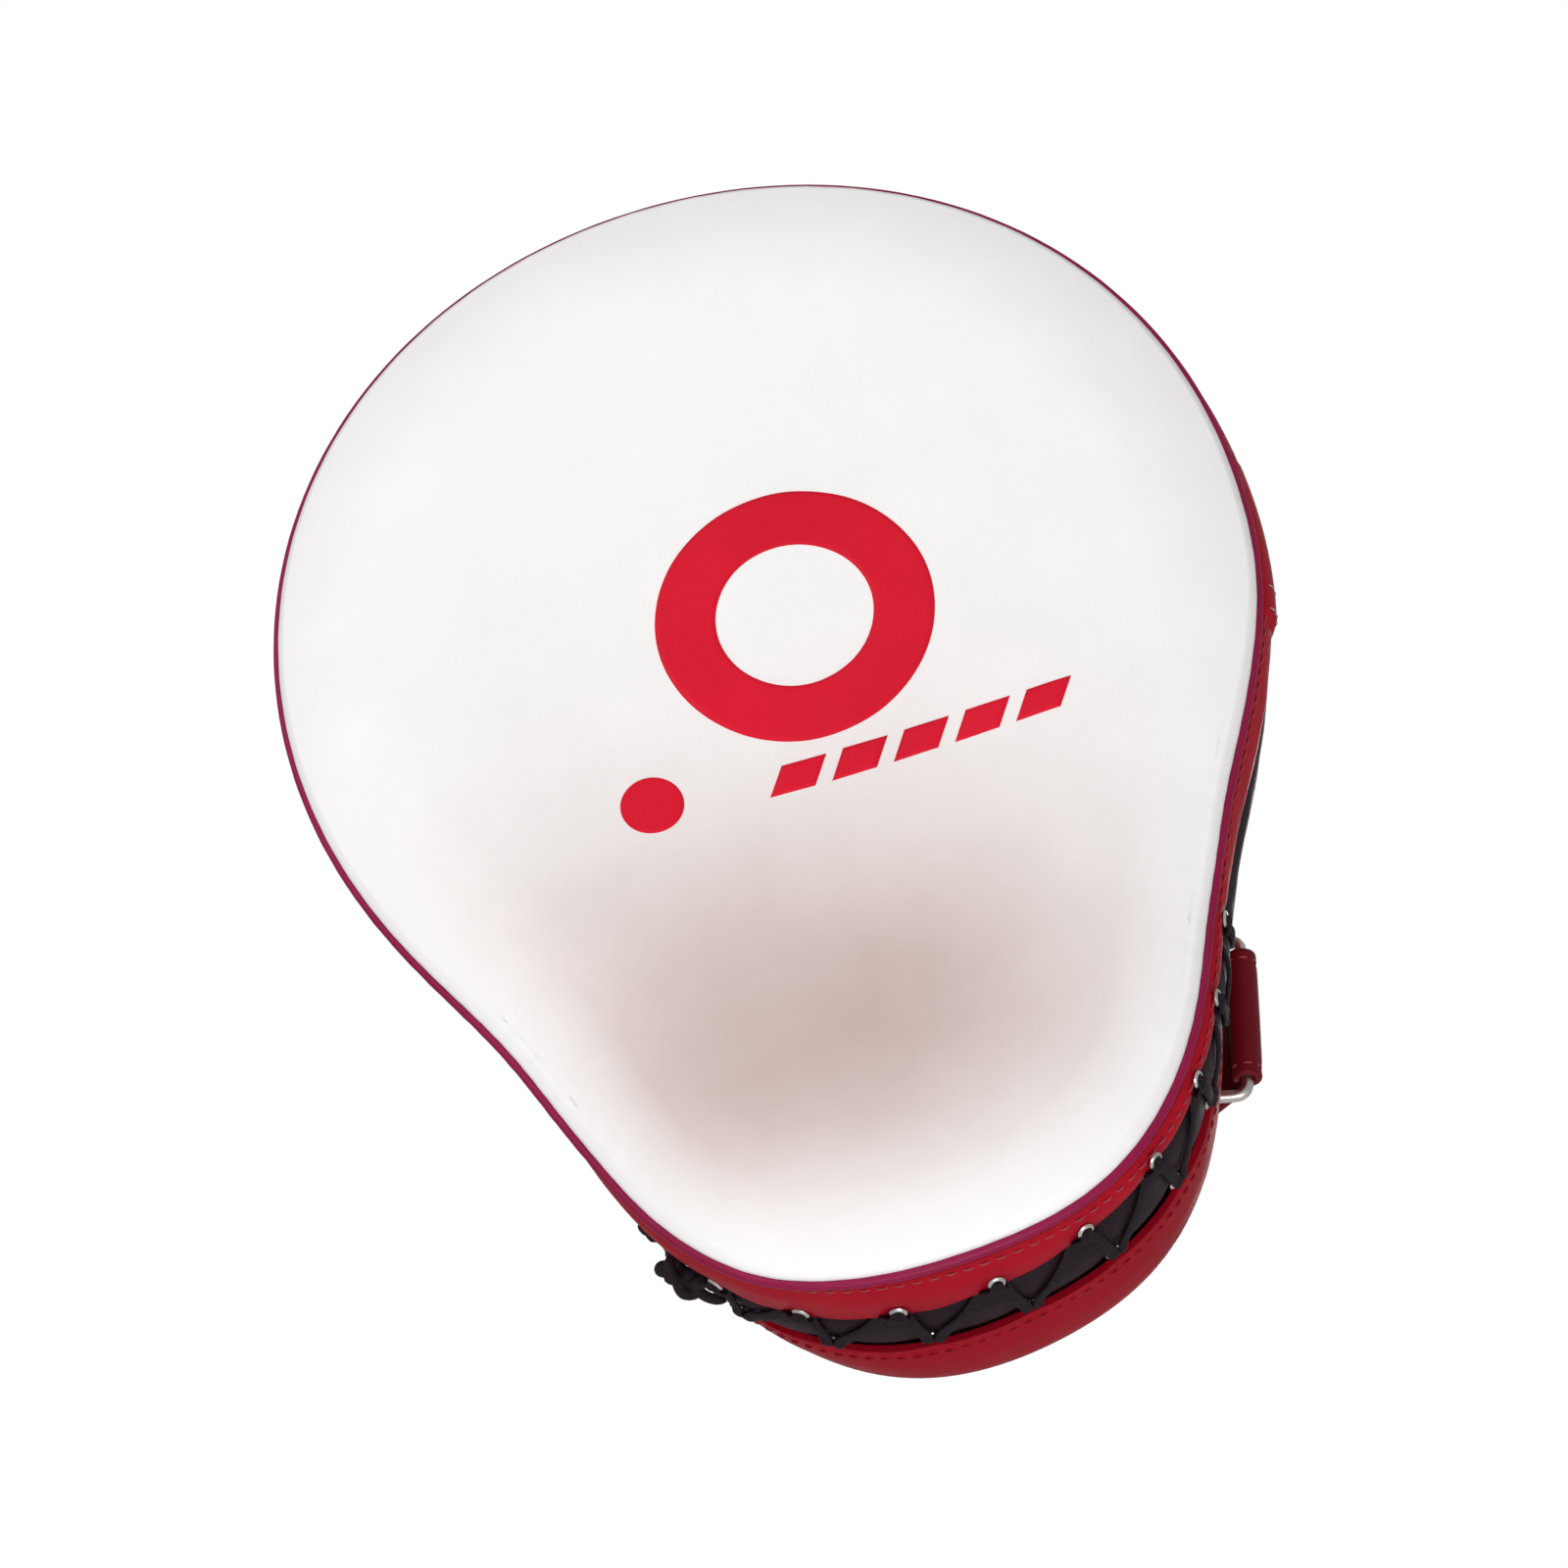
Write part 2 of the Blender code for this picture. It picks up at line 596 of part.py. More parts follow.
def arch_shell(name, finish, place, stations, wall, steps):
    """A hood from (along, half width, height) stations, open where it starts and where its inside ends."""
    builder = bmesh.new()
    rings = []
    for along, half_width, height in stations:
        rings.append([builder.verts.new(point)
                      for point in arch_section(place, along, half_width, height, wall, steps)])
    for first, second in zip(rings, rings[1:]):
        bridge(builder, first, second)
    for ring in (rings[0], rings[-1]):
        last = len(ring) - 1
        for i in range(steps):
            builder.faces.new((ring[i], ring[i + 1], ring[last - i - 1], ring[last - i]))
    return make_object(name, builder, finish)


def turned(x, z, tilt):
    """Placement on the back panel for something whose length runs at a tilt from +Z."""
    angle = math.radians(tilt)

    def place(across, along, height):
        return on_back(x + across * math.cos(angle) + along * math.sin(angle),
                       z - across * math.sin(angle) + along * math.cos(angle), height)
    return place


def hood_stations(length, half_width, height, wall, narrowing):
    """Stations of a hood that keeps its size, then rounds down to the panel at its far end."""
    stations = []
    for share in (0.0, 0.2, 0.4, 0.58, 0.72, 0.84, 0.93, 0.98, 1.0):
        closing = math.sqrt(max(1 - share ** 4, 0))
        width = half_width * (1 - narrowing * share ** 2) * (0.45 + 0.55 * closing)
        stations.append((length * share, width, (height - wall - 1) * closing + wall + 0.6))
    return stations


def make_pockets():
    hood = turned(HOOD_X, HOOD_START_Z, 0)
    arch_shell("finger_hood", RED, hood,
               hood_stations(HOOD_LENGTH, HOOD_HALF_WIDTH, HOOD_HEIGHT, HOOD_WALL, 0.1), HOOD_WALL, 16)
    edge = [(-7.0, HOOD_HALF_WIDTH + 0.8, HOOD_HEIGHT + 0.8), (-GAP, HOOD_HALF_WIDTH + 0.8, HOOD_HEIGHT + 0.8)]
    arch_shell("finger_hood_binding", BLACK, hood, edge, HOOD_WALL + 1.6, 16)
    thumb = turned(THUMB_X, THUMB_Z, THUMB_TILT)
    arch_shell("thumb_pocket", RED, thumb,
               hood_stations(THUMB_LENGTH, THUMB_HALF_WIDTH, THUMB_HEIGHT, HOOD_WALL, 0.05), HOOD_WALL, 12)
    edge = [(-6.0, THUMB_HALF_WIDTH + 0.7, THUMB_HEIGHT + 0.7), (-GAP, THUMB_HALF_WIDTH + 0.7, THUMB_HEIGHT + 0.7)]
    arch_shell("thumb_pocket_binding", BLACK, thumb, edge, HOOD_WALL + 1.4, 12)


# ---------------------------------------------------------------- wrist strap

def tilt_at(x):
    """Lean of the strap's width away from +Z, opposite at the two sides of the wrist."""
    return STRAP_TILT * min(max((x - STRAP_MIDDLE_X) / STRAP_HALF_SPAN, -1), 1)


def smooth_path(knots, per_span=4):
    """Catmull-Rom points through (x, y) knots."""
    points = []
    for i in range(len(knots) - 1):
        a, b = knots[max(i - 1, 0)], knots[i]
        c, d = knots[i + 1], knots[min(i + 2, len(knots) - 1)]
        for step in range(per_span):
            t = step / per_span
            points.append(tuple(0.5 * (2 * b[k] + (c[k] - a[k]) * t
                                       + (2 * a[k] - 5 * b[k] + 4 * c[k] - d[k]) * t * t
                                       + (3 * b[k] - a[k] - 3 * c[k] + d[k]) * t ** 3) for k in (0, 1)))
    points.append(knots[-1])
    return points


def path_normals(path):
    """Left-hand normals of an (x, y) path."""
    normals = []
    for i in range(len(path)):
        ahead, behind = path[min(i + 1, len(path) - 1)], path[max(i - 1, 0)]
        length = math.hypot(ahead[0] - behind[0], ahead[1] - behind[1])
        normals.append((-(ahead[1] - behind[1]) / length, (ahead[0] - behind[0]) / length))
    return normals


def offset_path(path, distance):
    return [(x + nx * distance, y + ny * distance) for (x, y), (nx, ny) in zip(path, path_normals(path))]


def ribbon(name, finish, path, thickness, width):
    """A flat strap following an (x, y) path, leaning with the wrist and square to the ring beyond its pivot."""
    sections = []
    for (x, y), (nx, ny) in zip(path, path_normals(path)):
        lean = tilt_at(x)
        beyond = max(x - RING_PIVOT_X, 0)
        middle = Vector((x - beyond * (1 - math.cos(lean)), y, STRAP_Z - beyond * math.sin(lean)))
        along = Vector((math.sin(lean), 0, math.cos(lean))) * width / 2
        across = Vector((nx * math.cos(lean), ny, -nx * math.sin(lean))) * thickness / 2
        corners = (middle - along - across, middle + along - across, middle + along + across, middle - along + across)
        sections.append([world(*corner) for corner in corners])
    return swept_section(name, finish, sections)


ARCH_KNOTS = ((55.0, 77.8), (41.0, 87.0), (6.0, 93.5), (-25.0, 87.0), (-40.0, 77.0), (-46.0, 67.5),
              (-45.5, 60.0), (-39.0, 56.1), (-24.0, 56.2))
RING_SIDE_KNOTS = ((66.0, 64.0), (63.0, 67.8))


def circle_run(x, y, radius, start, end, steps):
    return [(x + radius * math.cos(math.radians(start + (end - start) * i / steps)),
             y + radius * math.sin(math.radians(start + (end - start) * i / steps))) for i in range(steps + 1)]


def make_strap():
    main = smooth_path(RING_SIDE_KNOTS + ARCH_KNOTS)
    ribbon("wrist_strap", RED, main, STRAP_THICKNESS, STRAP_WIDTH)
    over = [point for point in main if LOOP_START_X <= point[0] <= LOOP_END_X and point[1] > PALM_TOP]
    loop_offset = -(STRAP_THICKNESS / 2 + GAP + TAPE_THICKNESS / 2)
    ribbon("loop_patch", LINER, offset_path(over, loop_offset), TAPE_THICKNESS, STRAP_WIDTH - 3)
    hook_run = [point for point in over if HOOK_START_X <= point[0] <= HOOK_END_X]
    hook_offset = loop_offset - TAPE_THICKNESS - GAP
    ribbon("hook_patch", LINER, offset_path(hook_run, hook_offset), TAPE_THICKNESS, STRAP_WIDTH - 4)
    around_bar = RING_WIRE + GAP + STRAP_THICKNESS / 2
    wrap = circle_run(RING_BAR_X, RING_Y, around_bar, WRAP_START, WRAP_END, 10)
    tail_offset = hook_offset - TAPE_THICKNESS / 2 - GAP - STRAP_THICKNESS / 2
    outside = offset_path(over, tail_offset)
    tail = wrap[:-1] + smooth_path([wrap[-1], (70.0, 67.4), (61.0, 77.8)] + [outside[0]], 3)[:-1] + outside
    ribbon("strap_tail", RED, tail, STRAP_THICKNESS, STRAP_WIDTH)
    root = [(-37.0, 58.2), (-24.0, 58.3)]
    ribbon("strap_root_patch", BLACK, root, PATCH_THICKNESS, STRAP_WIDTH + 4)


def make_ring_and_tab():
    half, wire = RING_HALF_HEIGHT, RING_WIRE
    corner = 2.6
    sides = 8
    corners = ((RING_PIVOT_X, half, 90), (RING_PIVOT_X, -half, 180),
               (RING_BAR_X, -half, 270), (RING_BAR_X, half, 0))
    route = []
    for x, height, start in corners:
        inward_x = corner if x == RING_PIVOT_X else -corner
        inward_z = -corner if height > 0 else corner
        for step in range(3):
            angle = math.radians(start + 45 * step)
            route.append((x + inward_x + corner * math.cos(angle), height + inward_z + corner * math.sin(angle)))
    spin = Matrix.Rotation(STRAP_TILT, 3, "Y")
    pivot = Vector((RING_PIVOT_X, RING_Y, STRAP_Z))
    sections = []
    count = len(route)
    for i, (x, height) in enumerate(route):
        ahead, behind = route[(i + 1) % count], route[i - 1]
        direction = Vector((ahead[0] - behind[0], 0, ahead[1] - behind[1])).normalized()
        side = direction.cross(Vector((0, 1, 0)))
        centre = Vector((x - RING_PIVOT_X, 0, height))
        ring = []
        for k in range(sides):
            angle = 2 * math.pi * k / sides
            point = centre + side * wire * math.cos(angle) + Vector((0, 1, 0)) * wire * math.sin(angle)
            ring.append(world(*(pivot + spin @ point)))
        sections.append(ring)
    swept_section("strap_ring", NICKEL, sections, closed=True)
    around_bar = wire + GAP + TAB_THICKNESS / 2
    fold = circle_run(RING_PIVOT_X, RING_Y, around_bar, -90, 90, 6)
    lower = RING_Y - around_bar
    tab = [(40.0, 56.2), (54.0, lower + 0.1)] + fold + [(58.0, 59.4), (52.0, 58.4), (40.0, 58.4)]
    ribbon("ring_tab", RED, tab, TAB_THICKNESS, STRAP_WIDTH - 1)
    ribbon("ring_tab_patch", BLACK, [(39.0, 60.1), (50.0, 60.1)], PATCH_THICKNESS, STRAP_WIDTH + 3)


def place_joint_origins():
    lean = STRAP_TILT
    pivot = world(RING_PIVOT_X, RING_Y, STRAP_Z)
    reach = RING_BAR_X - RING_PIVOT_X
    bar = world(RING_PIVOT_X + reach * math.cos(lean), RING_Y, STRAP_Z - reach * math.sin(lean))
    set_origin(bpy.data.objects["strap_ring"], pivot, lean)
    set_origin(bpy.data.objects["strap_tail"], bar, lean)


def main():
    for old in list(bpy.data.objects):
        bpy.data.objects.remove(old, do_unlink=True)
    make_face_cover()
    make_target_ring()
    make_accent_marks()
    make_piping()
    make_front_gusset()
    make_gusset_join()
    make_pad_foams()
    make_welt()
    make_eyelets()
    make_lace()
    make_back()
    make_back_filling()
    make_cushions()
    make_pockets()
    make_strap()
    make_ring_and_tab()
    place_joint_origins()


main()
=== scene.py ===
"""Looks of a laced leather punch mitt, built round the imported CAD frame.

Shapes are worked out in design millimetres: X across the mitt, Y from the striking face
towards the wearer, Z up to the fingertips. row() turns them into the row frame's metres.
"""

import math

import bmesh
import bpy
import numpy as np
from mathutils import Matrix, Vector


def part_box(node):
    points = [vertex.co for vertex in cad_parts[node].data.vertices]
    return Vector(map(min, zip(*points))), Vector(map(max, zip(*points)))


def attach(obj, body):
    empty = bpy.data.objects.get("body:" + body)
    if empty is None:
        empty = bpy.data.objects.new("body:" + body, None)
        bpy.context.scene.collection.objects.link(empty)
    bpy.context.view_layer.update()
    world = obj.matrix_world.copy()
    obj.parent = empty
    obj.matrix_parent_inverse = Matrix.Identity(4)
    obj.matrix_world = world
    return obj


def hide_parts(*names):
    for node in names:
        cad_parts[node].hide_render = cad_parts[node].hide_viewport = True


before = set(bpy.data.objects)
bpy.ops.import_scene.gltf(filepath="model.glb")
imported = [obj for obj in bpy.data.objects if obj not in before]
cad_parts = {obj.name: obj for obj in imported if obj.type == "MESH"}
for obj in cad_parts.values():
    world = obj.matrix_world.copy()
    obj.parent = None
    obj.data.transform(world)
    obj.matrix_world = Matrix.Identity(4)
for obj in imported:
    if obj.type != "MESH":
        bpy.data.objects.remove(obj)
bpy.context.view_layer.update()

MM = 0.001
ORIGIN = np.array((10.0, 70.0, -18.0))

# ---------------------------------------------------------------- shape of the mitt, as in the CAD

MEAN_RADIUS, FINGER_END_BIAS, ELONGATION = 111.7, 33.8, 24.5
WRIST_TAPER, FLANK_STRAIGHTENING, SHOULDER_ROUNDING = -3.4, -1.1, -0.65
OUTLINE_CENTRE_Z = -30.0
BEND, BEND_CENTRE_Z = 0.0007, -30.0
FLARE, FLANK_DRAW_IN, FLANK_DRAW_START = 0.05, 0.257, 12.0
SIDE_SHIFT, SIDE_SHIFT_START, SIDE_SHIFT_POWER = 4.7, 4.0, 0.4
STRAP_PULL, STRAP_PULL_START = 7.0, 30.0
STRAP_PULL_ANGLE, STRAP_PULL_SPREAD = math.radians(-145), math.radians(20)

FACE_CROWN, CROWN_EDGE = 7.0, 30.0
DISH_DEPTH, DISH_X, DISH_Z, DISH_RADIUS = 5.5, 4.0, -38.0, 32.0
PIPING_DEPTH, PIPING_RADIUS, PIPING_PROUD = 3.0, 1.05, 0.4
GUSSET_FRONT, GUSSET_STITCHES = 4.6, 6.7
BAND_FRONT, BAND_FRONT_LEAN = 17.0, 7.5
BAND_BACK, BAND_BACK_LEAN = 32.0, 3.2
BACK_SHOULDER, BACK_DEPTH, BACK_SKIN, BACK_STITCHES = 44.0, 55.0, 1.8, 2.6
LID_INSET, LID_STITCH_INSET, LID_STITCH_DEPTH = 19.0, 11.0, 54.55
EYELET_COUNT, EYELET_PITCH, EYELET_PHASE, EYELET_STAGGER = 11, 20.0, 5.3, 4.0
EYELET_MARGIN = 2.7

# Unevenness, listed as (angle and spread in degrees, millimetres): the rear of the side wall is
# drawn in, and the face's edge swells out or in, which fades out over a depth.
REAR_DRAWS = ((82, 26, 2.0), (174, 14, 2.3))
REAR_DRAW_START, REAR_DRAW_FULL = 22.0, 34.0
EDGE_BUMPS = ((70, 9, 1.0), (111, 12, 1.5), (145, 13, -1.0), (177, 11, -1.7), (200, 8, 1.1),
              (224, 13, -1.9))
EDGE_BUMP_DEPTH = 14.0

# On the ring side the gusset lies flatter and, lower down, the lacing band stands proud of it.
FLAT_ANGLE, FLAT_SPREAD = math.radians(90), math.radians(20)
PROUD_ANGLE, PROUD_SPREAD = math.radians(114), math.radians(20)

AROUND = 288


def circle(count):
    """Angles of a full turn in equal steps."""
    return np.linspace(0, 2 * np.pi, count, endpoint=False)


FULL = circle(AROUND)
FULL_CLOSED = np.append(FULL, FULL[0])


def bell(distance, width):
    """1 at no distance, falling away smoothly over the width."""
    return np.exp(-(distance / width) ** 2)


def squared_off(values, power):
    """Sines or cosines pushed outward, so that a round section turns boxy."""
    return np.sign(values) * np.abs(values) ** power


def unit(vectors):
    return vectors / np.linalg.norm(vectors, axis=-1, keepdims=True)


def arc_lengths(path):
    """Distance along a path at each of its points."""
    return np.concatenate(([0], np.cumsum(np.linalg.norm(np.diff(path, axis=0), axis=1))))


def row(points):
    """Design millimetres to the row frame's metres."""
    return (np.asarray(points, float) - ORIGIN) * MM


def outline(theta):
    """Radius of the face outline at an angle from +Z towards +X."""
    return (MEAN_RADIUS + FINGER_END_BIAS * np.cos(theta) + ELONGATION * np.cos(2 * theta)
            + WRIST_TAPER * np.cos(3 * theta) + FLANK_STRAIGHTENING * np.cos(4 * theta)
            + SHOULDER_ROUNDING * np.cos(6 * theta))


def bumps(theta, places):
    """Sum of smooth bumps round the rim."""
    degrees = np.degrees(np.remainder(theta, 2 * np.pi))
    return sum(amount * bell(degrees - angle, spread) for angle, spread, amount in places)


def face_outline(theta):
    return outline(theta) + bumps(theta, EDGE_BUMPS)


def polar(theta, radius):
    """X and Z at an angle and a radius about the outline's centre."""
    return radius * np.sin(theta), OUTLINE_CENTRE_Z + radius * np.cos(theta)


def from_edge(x, z):
    """Distance inward from the face's outline."""
    return face_outline(np.arctan2(x, z - OUTLINE_CENTRE_Z)) - np.hypot(x, z - OUTLINE_CENTRE_Z)


def bend(z):
    return -BEND * (z - BEND_CENTRE_Z) ** 2


def on_mitt(x, z, depth):
    """Points at a depth behind the rim surface."""
    x, z, depth = np.broadcast_arrays(x, z, depth)
    share = np.maximum(depth - SIDE_SHIFT_START, 0) / (BACK_DEPTH - SIDE_SHIFT_START)
    shift = SIDE_SHIFT * share ** SIDE_SHIFT_POWER
    return np.stack((x + shift, bend(z) + depth, z), axis=-1)


def rim(theta, inset, depth, scale=1.0):
    """Points on the outline, shrunk by a scale and an inset, at a depth."""
    theta, inset, depth = np.broadcast_arrays(theta, inset, depth)
    flank = 1 - np.cos(theta) ** 6
    drawn = FLANK_DRAW_IN * flank * np.maximum(depth - FLANK_DRAW_START, 0) - FLARE * np.maximum(depth, 0)
    away = np.remainder(theta - STRAP_PULL_ANGLE + np.pi, 2 * np.pi) - np.pi
    pull = STRAP_PULL * np.maximum(depth - STRAP_PULL_START, 0) / (BACK_DEPTH - STRAP_PULL_START)
    drawn = drawn + pull * bell(away, STRAP_PULL_SPREAD)
    rear = np.clip((depth - REAR_DRAW_START) / (REAR_DRAW_FULL - REAR_DRAW_START), 0, 1)
    drawn = drawn + rear * bumps(theta, REAR_DRAWS)
    edge = bumps(theta, EDGE_BUMPS) * np.clip(1 - np.abs(depth) / EDGE_BUMP_DEPTH, 0, 1)
    radius = outline(theta) * scale + edge - inset - drawn
    return on_mitt(*polar(theta, radius), depth)


def band_edges(theta):
    """Depths of the lacing band's front and back edges."""
    lean = np.sin(2 * theta) * np.sqrt(np.maximum(-np.cos(theta), 0))
    return BAND_FRONT + BAND_FRONT_LEAN * lean, BAND_BACK + BAND_BACK_LEAN * lean


def face_depth(x, z):
    """Depth of the face surface, crowned at its edge and hollowed low down."""
    rise = 1 - np.clip(from_edge(x, z) / CROWN_EDGE, 0, 1)
    hollow = DISH_DEPTH * np.exp(-((x - DISH_X) ** 2 + (z - DISH_Z) ** 2) / (2 * DISH_RADIUS ** 2))
    return (hollow - FACE_CROWN) * (1 - rise * rise)


def swell(x, z, reach=1.0):
    """Slow unevenness of padded leather, between about -1 and 1."""
    total = 0
    for index in range(7):
        angle, wave = 2.4 * index, reach * (14 + 5.3 * index)
        total = total + np.sin((x * math.cos(angle) + z * math.sin(angle)) * 2 * math.pi / wave + 1.7 * index)
    return total / 4


def wall_inset(theta, depth):
    """Inset of the side wall's outer surface, through gusset, lacing band and back."""
    front, back = band_edges(theta)
    share = np.clip((depth - GUSSET_FRONT) / (front - GUSSET_FRONT), 0, 1)
    hollow = 1.4 - 1.1 * bell(theta - FLAT_ANGLE, FLAT_SPREAD)
    gusset = 0.5 - hollow * np.sin(np.pi * share) ** 0.8
    share = np.clip((depth - front) / (back - front), 0, 1)
    proud = 2.0 * bell(theta - PROUD_ANGLE, PROUD_SPREAD)
    band = 0.1 + 2.1 * np.abs(2 * share - 1) ** 3 - proud * np.sin(np.pi * share)
    share = np.clip((depth - back) / (BACK_SHOULDER - back), 0, 1)
    rear = -0.5 - 0.6 * np.sin(np.pi * share) - 0.3 * share
    return np.where(depth < front, gusset, np.where(depth < back, band, rear))


def wall_point(theta, depth, lift=0.0):
    """A point on the side wall, lifted out of it, with its outward normal."""
    step = 0.01
    base = rim(theta, wall_inset(theta, depth), depth)
    along = rim(theta + step, wall_inset(theta, depth), depth) - base
    deeper = rim(theta, wall_inset(theta, depth), depth + step) - base
    normal = unit(np.cross(along, deeper))
    outward = base - np.array((0, 30.0, OUTLINE_CENTRE_Z))
    normal = normal * np.sign(np.sum(normal * outward, axis=-1, keepdims=True))
    return base + normal * np.asarray(lift)[..., None], normal


def arc_angles(arcs):
    """Outline angles at signed arc lengths from the wrist end, positive towards +X."""
    theta = np.linspace(np.pi, 0, 1441)
    x, z = outline(theta) * np.sin(theta), outline(theta) * np.cos(theta)
    found = np.interp(np.abs(arcs), arc_lengths(np.stack((x, z), axis=1)), theta)
    return np.where(arcs >= 0, found, 2 * np.pi - found)


EYELET_ARCS = (np.arange(EYELET_COUNT) - (EYELET_COUNT - 1) / 2) * EYELET_PITCH + EYELET_PHASE
FRONT_ANGLES = arc_angles(EYELET_ARCS)
BACK_ANGLES = arc_angles(EYELET_ARCS + EYELET_STAGGER)
FRONT_DEPTHS = band_edges(FRONT_ANGLES)[0] - EYELET_MARGIN
BACK_DEPTHS = band_edges(BACK_ANGLES)[1] - EYELET_MARGIN

# ---------------------------------------------------------------- materials


def add(tree, kind, settings=None, **inputs):
    """A shader node. Each input is a value, or a (node, output) pair to link from."""
    made = tree.nodes.new(kind)
    for name, value in (settings or {}).items():
        setattr(made, name, value)
    for key, value in inputs.items():
        key = key.replace("_", " ")
        socket = made.inputs[int(key)] if key.isdigit() else made.inputs[key]
        if isinstance(value, tuple) and isinstance(value[0], bpy.types.Node):
            tree.links.new(value[0].outputs[value[1]], socket)
        else:
            socket.default_value = value
    return made


def start(name, roughness, metallic=0.0, **finish):
    """A new material, with its node tree, its shader and its object coordinates."""
    shade = bpy.data.materials.new(name)
    shade.use_nodes = True
    tree = shade.node_tree
    bsdf = tree.nodes["Principled BSDF"]
    for key, value in dict(finish, Roughness=roughness, Metallic=metallic).items():
        bsdf.inputs[key.replace("_", " ")].default_value = value
    return shade, tree, bsdf, (add(tree, "ShaderNodeTexCoord"), "Object")


def mix(tree, factor, first, second, blend_type="MIX"):
    """A colour mix of colours or linked sockets."""
    return add(tree, "ShaderNodeMix", {"data_type": "RGBA", "blend_type": blend_type},
               **{"0": factor, "6": first, "7": second})


def spread(tree, source, low, high, to_low, to_high):
    """A value carried from one range to another."""
    return add(tree, "ShaderNodeMapRange", Value=source, From_Min=low, From_Max=high,
               To_Min=to_low, To_Max=to_high)


def maths(tree, operation, *values, clamp=False):
    return add(tree, "ShaderNodeMath", {"operation": operation, "use_clamp": clamp},
               **{str(index): value for index, value in enumerate(values)})


def rgba(colour):
    return (*colour, 1.0)


def surface(tree, bsdf, tint, rub, height, strength, distance):
    """Link a colour, a roughness and a bumped height to the shader."""
    relief = add(tree, "ShaderNodeBump", Strength=strength, Distance=distance, Height=height)
    for made, output, socket in ((tint, 2, "Base Color"), (rub, 0, "Roughness"), (relief, 0, "Normal")):
        tree.links.new(made.outputs[output], bsdf.inputs[socket])


def leather(name, colour, worn, roughness, grain, bump, stain=None, **finish):
    """Coated leather: fine pebble grain, soft blotches, painted shade along seams, an optional pinkish grey
    of painted shade over a masked area, and a rubbed sheen.
    """
    shade, tree, bsdf, where = start(name, roughness, **finish)
    cells = add(tree, "ShaderNodeTexVoronoi", {"feature": "DISTANCE_TO_EDGE"}, Vector=where, Scale=grain)
    pores = add(tree, "ShaderNodeTexNoise", Vector=where, Scale=grain * 2.7, Detail=2.0)
    patches = add(tree, "ShaderNodeTexNoise", Vector=where, Scale=24.0, Detail=5.0, Roughness=0.62)
    ridge = spread(tree, (cells, 0), 0.0, 0.16, 0.0, 0.8)
    height = maths(tree, "MULTIPLY_ADD", (pores, 0), 0.3, (ridge, 0))
    blotch = spread(tree, (patches, 0), 0.35, 0.7, 0.0, 1.0)
    tint = mix(tree, (blotch, 0), rgba(colour), rgba(worn))
    # Painted shade: this attribute darkens the colour under the piping, under the lace, round the eyelets and
    # along the hoods' seam grooves.
    seam = add(tree, "ShaderNodeAttribute", {"attribute_name": "seam"})
    darkening = spread(tree, (seam, "Fac"), 0.0, 1.0, 0.0, 0.6)
    tint = mix(tree, (darkening, 0), (tint, 2), rgba(tuple(0.35 * part for part in colour)))
    # Painted shade: where the mesh asks for it, a pinkish grey is laid over the colour, broken up a little by
    # the blotch noise.
    if stain:
        mark = add(tree, "ShaderNodeAttribute", {"attribute_name": "stain"})
        speckle = spread(tree, (patches, 0), 0.3, 0.75, 0.88, 1.08)
        amount = maths(tree, "MULTIPLY", (mark, "Fac"), (speckle, 0), clamp=True)
        tint = mix(tree, (amount, 0), (tint, 2), rgba(stain))
    rub = spread(tree, (patches, 0), 0.3, 0.75, roughness - 0.06, roughness + 0.08)
    surface(tree, bsdf, tint, rub, (height, 0), bump, 0.00012)
    return shade


def woven(name, colour, worn, roughness, thread, bump):
    """A plain weave from two crossed sets of threads."""
    shade, tree, bsdf, where = start(name, roughness, Specular_IOR_Level=0.12)
    waves = [add(tree, "ShaderNodeTexWave", {"bands_direction": axis}, Vector=where, Scale=thread / 6.3,
                 Distortion=0.6, Detail=1.0) for axis in ("X", "Z")]
    weave = maths(tree, "MULTIPLY", (waves[0], "Fac"), (waves[1], "Fac"))
    patches = add(tree, "ShaderNodeTexNoise", Vector=where, Scale=60.0, Detail=4.0)
    fade = mix(tree, (patches, 0), rgba(colour), rgba(worn))
    shadow = mix(tree, 0.5, (fade, 2), (weave, 0), "MULTIPLY")
    rub = spread(tree, (patches, 0), 0.3, 0.7, roughness - 0.05, min(roughness + 0.05, 1.0))
    surface(tree, bsdf, shadow, rub, (weave, 0), bump, 0.0002)
    return shade


def pile(name, colour, worn, scale, bump):
    """Hook or loop pile: a dense field of tiny tufts."""
    shade, tree, bsdf, where = start(name, 0.95, Sheen_Weight=0.5)
    tufts = add(tree, "ShaderNodeTexVoronoi", Vector=where, Scale=scale, Randomness=0.8)
    fuzz = add(tree, "ShaderNodeTexNoise", Vector=where, Scale=scale * 2.3, Detail=3.0)
    height = maths(tree, "SUBTRACT", (fuzz, 0), (tufts, 0))
    tone = spread(tree, (height, 0), -0.2, 0.6, 0.0, 1.0)
    tint = mix(tree, (tone, 0), rgba(colour), rgba(worn))
    rub = spread(tree, (fuzz, 0), 0.3, 0.7, 0.85, 1.0)
    surface(tree, bsdf, tint, rub, (height, 0), bump, 0.0004)
    return shade


def plated(name, colour, worn, roughness):
    """Nickel plate with fine scratches and a little tarnish."""
    shade, tree, bsdf, where = start(name, roughness, 1.0)
    tarnish = add(tree, "ShaderNodeTexNoise", Vector=where, Scale=180.0, Detail=6.0)
    scratch = add(tree, "ShaderNodeTexNoise", Vector=where, Scale=2400.0, Detail=2.0)
    tone = spread(tree, (tarnish, 0), 0.45, 0.75, 0.0, 1.0)
    tint = mix(tree, (tone, 0), rgba(colour), rgba(worn))
    rub = spread(tree, (tarnish, 0), 0.3, 0.7, roughness - 0.06, roughness + 0.14)
    surface(tree, bsdf, tint, rub, (scratch, 0), 0.12, 0.00005)
    return shade


